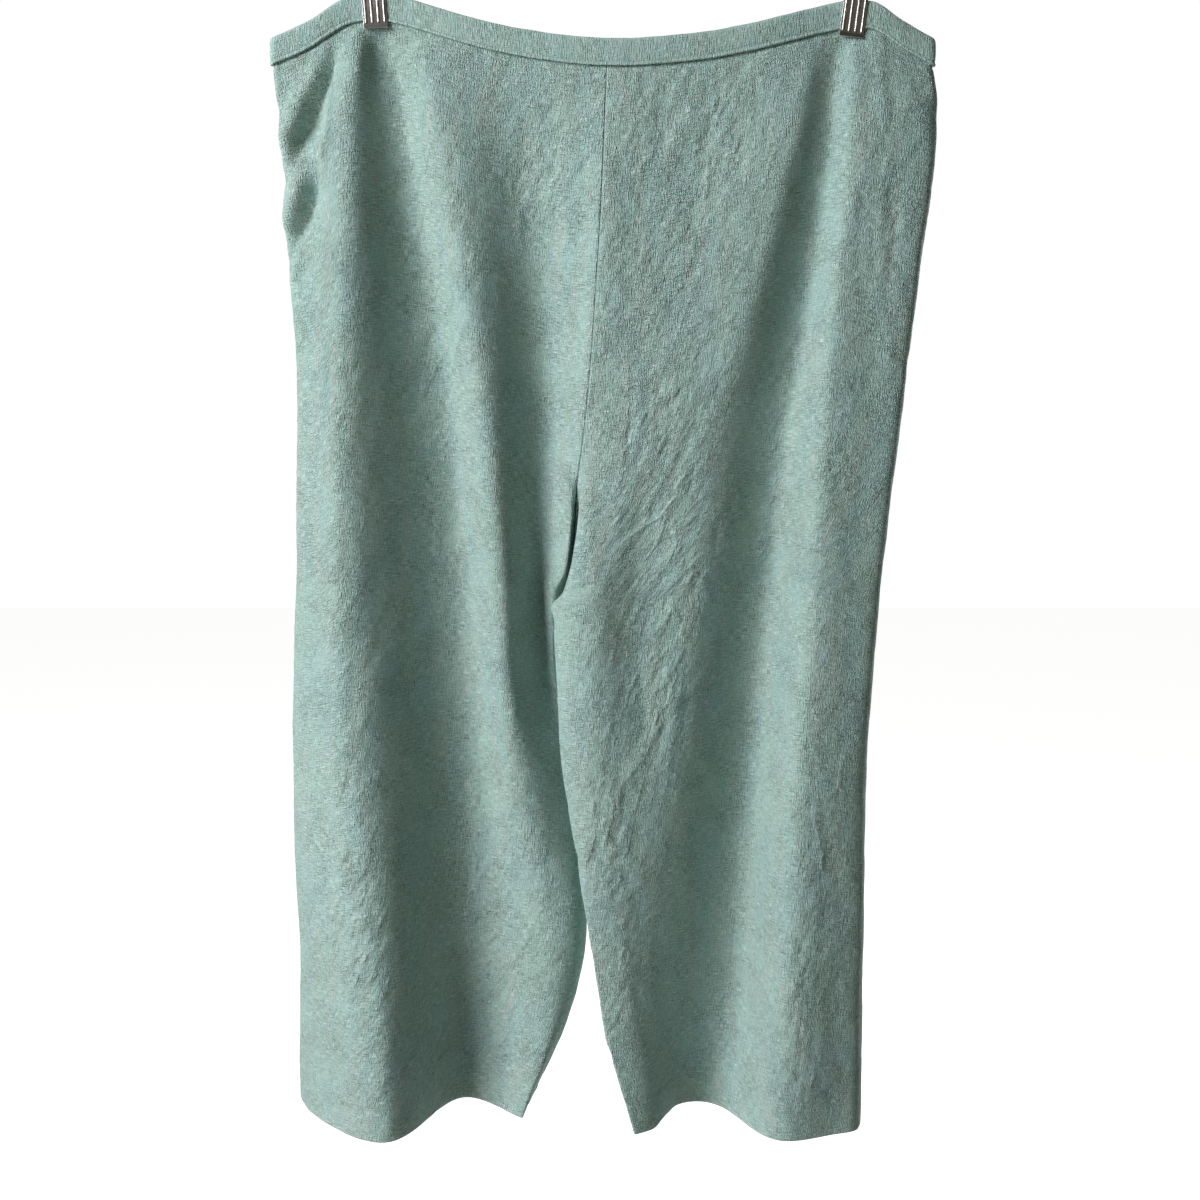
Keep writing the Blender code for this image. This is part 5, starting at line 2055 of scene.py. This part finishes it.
RIGHT_FRONT_CREASES = creases(
    (FALL, 13, -11, -119, -232, -144, -237, -160, -242, -177, -249, -188, -254, -202, -261, -217,
     -268, -226, -274), (16, 2.2, -690, -236, -740, -237, -800, -232, -850, -228),
    (8, 1.6, -480, -48, -515, -49, -550, -51, -585, -57),
    (FALL, 13, -11, -224, -245, -241, -251, -259, -259, -276, -267, -292, -274),
    (8, -1.5, -141, -270, -137, -256, -129, -241),
    (FALL, 7, -3, -297, -259, -309, -263, -320, -268), (10, 1, -124, -262, -140, -266, -160, -270),
    (9, -0.9, -128, -252, -150, -256, -172, -262),
    (9, 1.8, -122, -228, -149, -234, -177, -240, -226, -244, -271, -253),
    (7, -1.3, -132, -240, -146, -250, -158, -263), (6, 0.9, -196, -272, -206, -266, -216, -258),
    (10, -1, -118, -187, -137, -185, -161, -181, -201, -178),
    (LAP, 18, -2.4, -108, -204, -130, -205, -154, -207),
    (CRISP, 7, 0.8, -245, -71, -248, -62, -236, -54, -231, -48, -216, -43),
    (CRISP, 7, 0.8, -230, -61, -220, -54, -209, -48, -203, -40),
    (7, -0.6, -238, -60, -228, -52, -214, -47), (6, -0.6, -142, -123, -141, -111, -144, -99),
    (10, 0.8, -235, -37, -284, -41, -333, -48), (6, -0.9, -464, -249, -488, -253, -517, -257),
    (CRISP, 6, 0.8, -729, -207, -741, -211, -756, -221),
    (8, 0.9, -787, -237, -769, -234, -756, -226, -742, -215),
    (8, -0.9, -871, -236, -894, -241, -916, -247), (CRISP, 5, -0.8, -910, -183, -921, -193),
    (9, -0.8, -921, -262, -927, -247, -916, -229),
    (8, 0.55, -774, -169, -767, -151, -772, -125, -788, -99, -795, -84),
    (9, 0.6, -857, -189, -835, -170, -817, -143, -813, -117, -817, -90, -833, -64, -851, -54),
    (CRISP, 7, 0.5, -865, -181, -838, -159, -826, -152),
    (7, -1.1, -1013, -101, -1015, -83, -1020, -70, -1019, -60),
    (7, 0.9, -1005, -96, -1000, -78, -994, -62),
    (CRISP, 5, 0.8, -1025, -78, -1026, -70, -1024, -64),
    (18, -1, -700, -205, -735, -224, -760, -245), (18, 1, -800, -215, -845, -238, -880, -262),
    (16, -1.2, -955, -215, -985, -240, -1010, -268), (7, -1.2, -620, -56, -640, -52, -662, -50),
    (CRISP, 6, 0.9, -612, -52, -628, -54, -650, -51),
)
RIGHT_FRONT_CRUMPLES = crumples(
    (-230, -60, 60, 40, 17, 0.55, -38, 2.4, 0.6), (-860, -215, 120, 55, 30, 0.85, -25, 1.8, 0.5),
    (-730, -225, 90, 50, 22, 0.55, -30, 2.2, 0.6), (-985, -150, 60, 90, 24, 0.75, 15, 1.5, 0.5),
    (-835, -125, 130, 75, 32, 0.75, -42, 2.2, 0.45),
    (-640, -190, 160, 60, 38, 0.50, -12, 2.4, 0.3), (-360, -160, 150, 90, 40, 0.45, -8, 2.6, 0.3),
    (-1010, -80, 26, 30, 10, 0.45, 78, 2.4, 0.6), (-640, -60, 60, 20, 12, 0.6, 20, 1.6, 0.6),
)
RIGHT_FRONT = Panel(
    name="right_front_linen", node="right_front", half=Half.FRONT, towards_centre=1.0,
    lines=RIGHT_FRONT_LINES, notches=RIGHT_NOTCHES, cut=(0.47, 0.97), cut_area=0.36, seed=11,
    creases=RIGHT_FRONT_CREASES, crumples=RIGHT_FRONT_CRUMPLES,
)

LEFT_FRONT_CREASES = creases(
    (9, 1.6, -112, 201, -137, 196, -161, 190, -193, 184),
    (11, -1.4, -124, 214, -150, 212, -190, 210), (9, -0.8, -121, 232, -140, 229, -175, 226),
    (9, 0.7, -135, 240, -160, 243, -190, 247), (CRISP, 7, -0.8, -392, 250, -378, 238, -386, 252),
    (CRISP, 7, -1.1, -416, 15, -440, 12, -460, 9), (7, 0.6, -420, 22, -445, 20, -462, 18),
    (CRISP, 7, -1.1, -464, 68, -477, 67, -500, 62), (CRISP, 6, 1, -508, 46, -525, 41, -538, 35),
    (CRISP, 6, 1, -508, 46, -534, 52, -547, 56), (CRISP, 6, 0.8, -491, 49, -481, 59, -474, 66),
    (8, -0.9, -520, 48, -540, 45), (CRISP, 7, 0.9, -672, 74, -663, 66, -672, 54, -682, 47),
    (CRISP, 7, 0.9, -544, 68, -564, 65, -585, 60), (CRISP, 5, 0.7, -564, 73, -576, 78, -585, 80),
    (CRISP, 6, 0.9, -645, 40, -663, 36, -676, 30), (CRISP, 6, 0.8, -647, 53, -663, 52, -673, 50),
    (CRISP, 7, 1.2, -671, 38, -692, 33, -710, 28, -723, 24),
    (8, -0.9, -676, 42, -700, 38, -720, 34), (CRISP, 7, 1.1, -650, 57, -671, 55, -695, 50),
    (8, -0.8, -660, 62, -690, 58), (CRISP, 6, 0.7, -684, -1, -669, -5, -699, -1),
    (CRISP, 8, 1, -739, 11, -729, 17, -726, 26, -732, 38, -722, 50),
    (8, -0.8, -748, 16, -742, 28, -746, 42),
    (CRISP, 8, 1, -744, -10, -750, -3, -762, -1, -797, -10),
    (CRISP, 7, 1.1, -489, 56, -507, 45, -518, 32, -528, 16, -541, -1),
    (CRISP, 7, 0.8, -492, 87, -500, 73, -511, 60), (CRISP, 6, 0.6, -530, 84, -536, 67, -537, 56),
    (CRISP, 6, -0.8, -515, 91, -531, 87, -547, 87), (CRISP, 6, 0.5, -545, 30, -541, 41, -541, 53),
    (CRISP, 6, -0.7, -558, 26, -571, 15, -577, 11), (CRISP, 6, 0.8, -564, 56, -574, 43, -579, 32),
    (CRISP, 7, -0.8, -565, 72, -582, 70, -599, 68), (CRISP, 6, 0.8, -599, 46, -608, 40, -618, 34),
    (CRISP, 6, 0.7, -603, 66, -612, 60, -629, 63),
    (CRISP, 7, 1, -623, 57, -627, 46, -637, 36, -643, 19), (CRISP, 6, -0.6, -603, 16, -619, 13),
    (6, -0.7, -553, -18, -567, -21), (CRISP, 5, 0.6, -489, -21, -496, -18, -503, -18),
    (CRISP, 6, 0.7, -522, -27, -513, -20, -503, -10), (6, -0.7, -689, 88, -694, 80),
    (8, -1, -801, -20, -807, -10, -804, 4), (8, 0.8, -823, -8, -833, 2, -842, 12),
    (CRISP, 7, 0.9, -753, 168, -788, 174, -823, 178), (8, -0.7, -760, 176, -795, 181),
    (CRISP, 6, 0.7, -709, 195, -726, 192, -748, 191), (7, -0.9, -864, 155, -886, 159, -904, 157),
    (10, 1, -985, 107, -994, 126, -1025, 140, -1035, 153),
    (11, 0.9, -962, 91, -989, 97, -1017, 104), (8, -0.6, -1000, 60, -1004, 78, -1000, 92),
    (8, 1, -953, 11, -971, 7, -985, 4), (8, -0.8, -965, 18, -985, 14),
    (CRISP, 6, 0.7, -1022, 26, -1030, 30, -1024, 38), (9, 1.1, -235, 222, -285, 223, -345, 217),
    (7, -0.7, -240, 203, -290, 202, -345, 196), (8, 0.9, -140, 220, -165, 222, -200, 224),
    (8, 0.6, -205, 240, -260, 243, -330, 237), (14, 0.7, -170, 70, -200, 58, -230, 42),
    (12, -0.6, -180, 88, -215, 74, -250, 60), (9, 0.8, -480, -24, -520, -22, -560, -30),
)
LEFT_FRONT_CRUMPLES = crumples(
    (-200, 60, 80, 70, 22, 0.55, -35, 2.2, 0.55), (-300, 30, 80, 60, 19, 0.5, -25, 2, 0.5),
    (-470, 40, 110, 55, 17, 0.75, -20, 2, 0.65), (-570, 50, 70, 50, 15, 0.85, -30, 2, 0.7),
    (-680, 30, 90, 60, 16, 0.95, -15, 2, 0.7), (-790, 0, 90, 40, 17, 0.85, 10, 1.7, 0.65),
    (-900, 10, 90, 40, 20, 0.65, 15, 1.8, 0.6), (-800, 175, 130, 30, 15, 0.55, 5, 3.2, 0.5),
    (-280, 225, 110, 30, 13, 0.40, 2, 4, 0.3), (-985, 130, 45, 70, 22, 0.8, -25, 2, 0.5),
    (-880, 150, 110, 60, 28, 0.60, -30, 2.2, 0.45), (-480, 150, 170, 60, 36, 0.50, -12, 2.6, 0.3),
    (-560, -35, 60, 18, 12, 0.5, 25, 1.8, 0.5),
)
LEFT_FRONT = Panel(
    name="left_front_linen", node="left_front", half=Half.FRONT, towards_centre=-1.0,
    lines=LEFT_FRONT_LINES, notches=LEFT_NOTCHES, cut=(0.46, 0.97), cut_area=0.36, seed=23,
    creases=LEFT_FRONT_CREASES, crumples=LEFT_FRONT_CRUMPLES,
)

RIGHT_BACK_CREASES = creases(
    (15, 1.8, -125, -232, -160, -248, -200, -268), (14, -2.2, -150, -236, -190, -252, -240, -270),
    (10, 1, -112, -205, -150, -206, -200, -209), (20, 1.2, -560, -70, -600, -95, -640, -120),
    (18, -1.3, -585, -66, -630, -88, -680, -106), (14, -0.9, -470, -60, -490, -95, -500, -130),
    (CRISP, 12, 0.8, -495, -50, -515, -90, -520, -120),
    (CRISP, 10, 0.9, -690, -200, -720, -180, -760, -168),
    (9, -0.8, -820, -120, -850, -140, -890, -150), (8, 0.8, -1000, -110, -1005, -130, -1000, -150),
)
RIGHT_BACK_CRUMPLES = crumples(
    (-480, -80, 90, 70, 18, 0.75, 60, 2.2, 0.6), (-620, -110, 110, 70, 20, 0.8, -30, 2, 0.6),
    (-820, -170, 120, 80, 22, 0.7, 15, 2, 0.55), (-980, -170, 60, 90, 24, 0.6, -15, 1.6, 0.5),
)
RIGHT_BACK = Panel(
    name="right_back_linen", node="right_back", half=Half.BACK, towards_centre=1.0,
    lines=RIGHT_BACK_LINES, notches=RIGHT_NOTCHES, cut=(0.46, 0.98), cut_area=0.34, seed=37,
    cell=3.1,
    creases=RIGHT_BACK_CREASES, crumples=RIGHT_BACK_CRUMPLES,
)

LEFT_BACK_CREASES = creases(
    (14, 1.6, -122, 226, -155, 238, -195, 256), (13, -1.8, -140, 218, -185, 236, -235, 254),
    (9, 1, -118, 196, -150, 194, -190, 190), (20, 1.2, -555, 0, -595, 25, -640, 50),
    (18, -1.2, -580, -2, -625, 20, -675, 38), (13, -0.9, -480, 20, -500, 60, -505, 90),
    (CRISP, 12, 0.8, -500, 10, -520, 45, -528, 75),
    (CRISP, 10, 0.8, -700, 150, -735, 140, -770, 120), (9, -0.8, -860, 70, -890, 80, -930, 84),
)
LEFT_BACK_CRUMPLES = crumples(
    (-470, 50, 90, 70, 18, 0.75, -55, 2.2, 0.6), (-630, 50, 110, 70, 20, 0.8, 28, 2, 0.6),
    (-830, 120, 120, 80, 22, 0.7, -15, 2, 0.55), (-980, 110, 60, 80, 24, 0.6, 12, 1.6, 0.5),
)
LEFT_BACK = Panel(
    name="left_back_linen", node="left_back", half=Half.BACK, towards_centre=-1.0,
    lines=LEFT_BACK_LINES, notches=LEFT_NOTCHES, cut=(0.46, 0.98), cut_area=0.34, seed=53,
    cell=3.1,
    creases=LEFT_BACK_CREASES, crumples=LEFT_BACK_CRUMPLES,
)


@dataclass
class Trousers:
    """The garment.

    Attributes:
        panels: the four panels of the legs.
        band: the waistband.
        stitching: the rows of stitches on the band and the hems.
        shaded_band_finish: linen of the band, whose folded strip shows finer; its mint and pale
            are darker than the panels', painted shade for the band as it turns from the light.
    """

    panels: tuple[Panel, ...] = (RIGHT_FRONT, LEFT_FRONT, RIGHT_BACK, LEFT_BACK)
    band: Waistband = field(default_factory=Waistband)
    stitching: Stitching = field(default_factory=Stitching)
    # darker mint and pale than the panels': painted shade on the band
    shaded_band_finish: LinenFinish = LinenFinish(
        "waistband_weave", mint=(0.318, 0.478, 0.420, 1.0), pale=(0.520, 0.665, 0.620, 1.0),
        ribs=0.5, relief=0.5)

    def build(self) -> list[Object]:
        """Make every piece of the garment.

        Returns:
            The pieces.
        """
        rows: dict[str, Array] = {}
        pieces = []
        band, line = self.band.build(self.shaded_band_finish.material())
        rows["waistband_stitches"] = line
        pieces.append(band)
        for panel in self.panels:
            item, line = panel.build(LinenFinish(f"{panel.name}_weave").material())
            rows[f"{panel.node}_hem_stitches"] = line
            pieces.append(item)
        return pieces + self.stitching.sew(rows)


# ---- studio


@dataclass
class Studio:
    """Pale floor, soft lights and the camera, in metres and degrees.

    Attributes:
        camera_place: where the camera stands.
        camera_pitch: its tilt, 90 for level.
        camera_angle: its angle of view.
        aim: the place that every light faces.
        floor: height of the floor.
        floor_half: half of the floor's width.
        air: colour of the air's light.
        lights: name, place, size, watts and tint of each light.
    """

    camera_place: Place = (-0.0117, -1.25, -0.4345)
    camera_pitch: float = 83.0
    camera_angle: float = 45.03
    aim: Place = (-0.01, 0.0, -0.60)
    floor: float = -1.75
    floor_half: float = 9.0
    air: Colour = (0.025, 0.024, 0.0155, 1.0)
    lights: tuple[tuple[str, Place, Pair, float, Place], ...] = (
        ("key", (-2.45, -1.68, 0.7), (1.4, 1.7), 128.0, (0.995, 0.985, 1.015)),
        ("fill", (1.2, -2.9, 0.2), (2.0, 2.0), 1.8, (1.0, 1.0, 0.82)),
        ("back", (1.9, 2.2, 0.4), (1.4, 1.6), 50.0, (1.0, 1.0, 1.0)),
    )

    def build_floor(self) -> Object:
        """Wide pale floor far below the trousers.

        Returns:
            The floor.
        """
        half = self.floor_half
        points = [(-half, -half, self.floor), (half, -half, self.floor),
                  (half, half, self.floor), (-half, half, self.floor)]
        mesh = bpy.data.meshes.new("studio_floor")
        mesh.from_pydata(points, [], [(0, 1, 2, 3)])
        mesh.materials.append(StudioFinish().material())
        item = add_object("studio_floor", mesh)
        return item

    def add_light(self, name: str, place: Place, size: Pair, power: float,
                  colour: Place) -> None:
        """Hang one soft light that faces the trousers.

        Args:
            name: name of the light.
            place: where it hangs, in metres.
            size: its width and height, in metres.
            power: watts.
            colour: its tint.
        """
        light = bpy.data.lights.new(name, "AREA")
        light.shape = "RECTANGLE"
        light.size, light.size_y = size
        light.energy = power
        light.color = colour
        item = add_object(name, light)
        item.location = place
        way = Vector(self.aim) - Vector(place)
        item.rotation_euler = way.to_track_quat("-Z", "Y").to_euler()

    def build_world(self) -> None:
        """Dim air that looks white to the camera."""
        world = bpy.data.worlds.new("studio_air")
        world.use_nodes = True
        bpy.context.scene.world = world
        air = Tree(world.node_tree)
        seen = air.signal("ShaderNodeLightPath", output="Is Camera Ray")
        colour = air.blend(seen, self.air, (1.0, 1.0, 1.0, 1.0))
        air.plug(air.tree.nodes["Background"], {"Color": colour})

    def build_camera(self) -> None:
        """Stand the camera before the trousers, a little above their middle."""
        data = bpy.data.cameras.new("camera")
        data.sensor_fit = "HORIZONTAL"
        data.angle = radians(self.camera_angle)
        data.clip_end = 50.0
        item = add_object("camera", data)
        item.location = self.camera_place
        item.rotation_euler = (radians(self.camera_pitch), 0.0, 0.0)
        bpy.context.scene.camera = item

    def build(self) -> None:
        """Set up the whole studio."""
        self.build_camera()
        self.build_floor()
        self.build_world()
        for light in self.lights:
            self.add_light(*light)
        bpy.context.scene.view_settings.view_transform = "Standard"


def main() -> None:
    """Build the trousers, the hanger and the studio, and report each piece."""
    logging.basicConfig(level=logging.INFO, format="%(name)s: %(message)s")
    pieces = Trousers().build() + Hanger().build()
    for piece in pieces:
        LOG.info("%s: %d faces", piece.name, len(piece.data.polygons))
    Studio().build()


if __name__ == "__main__":
    main()
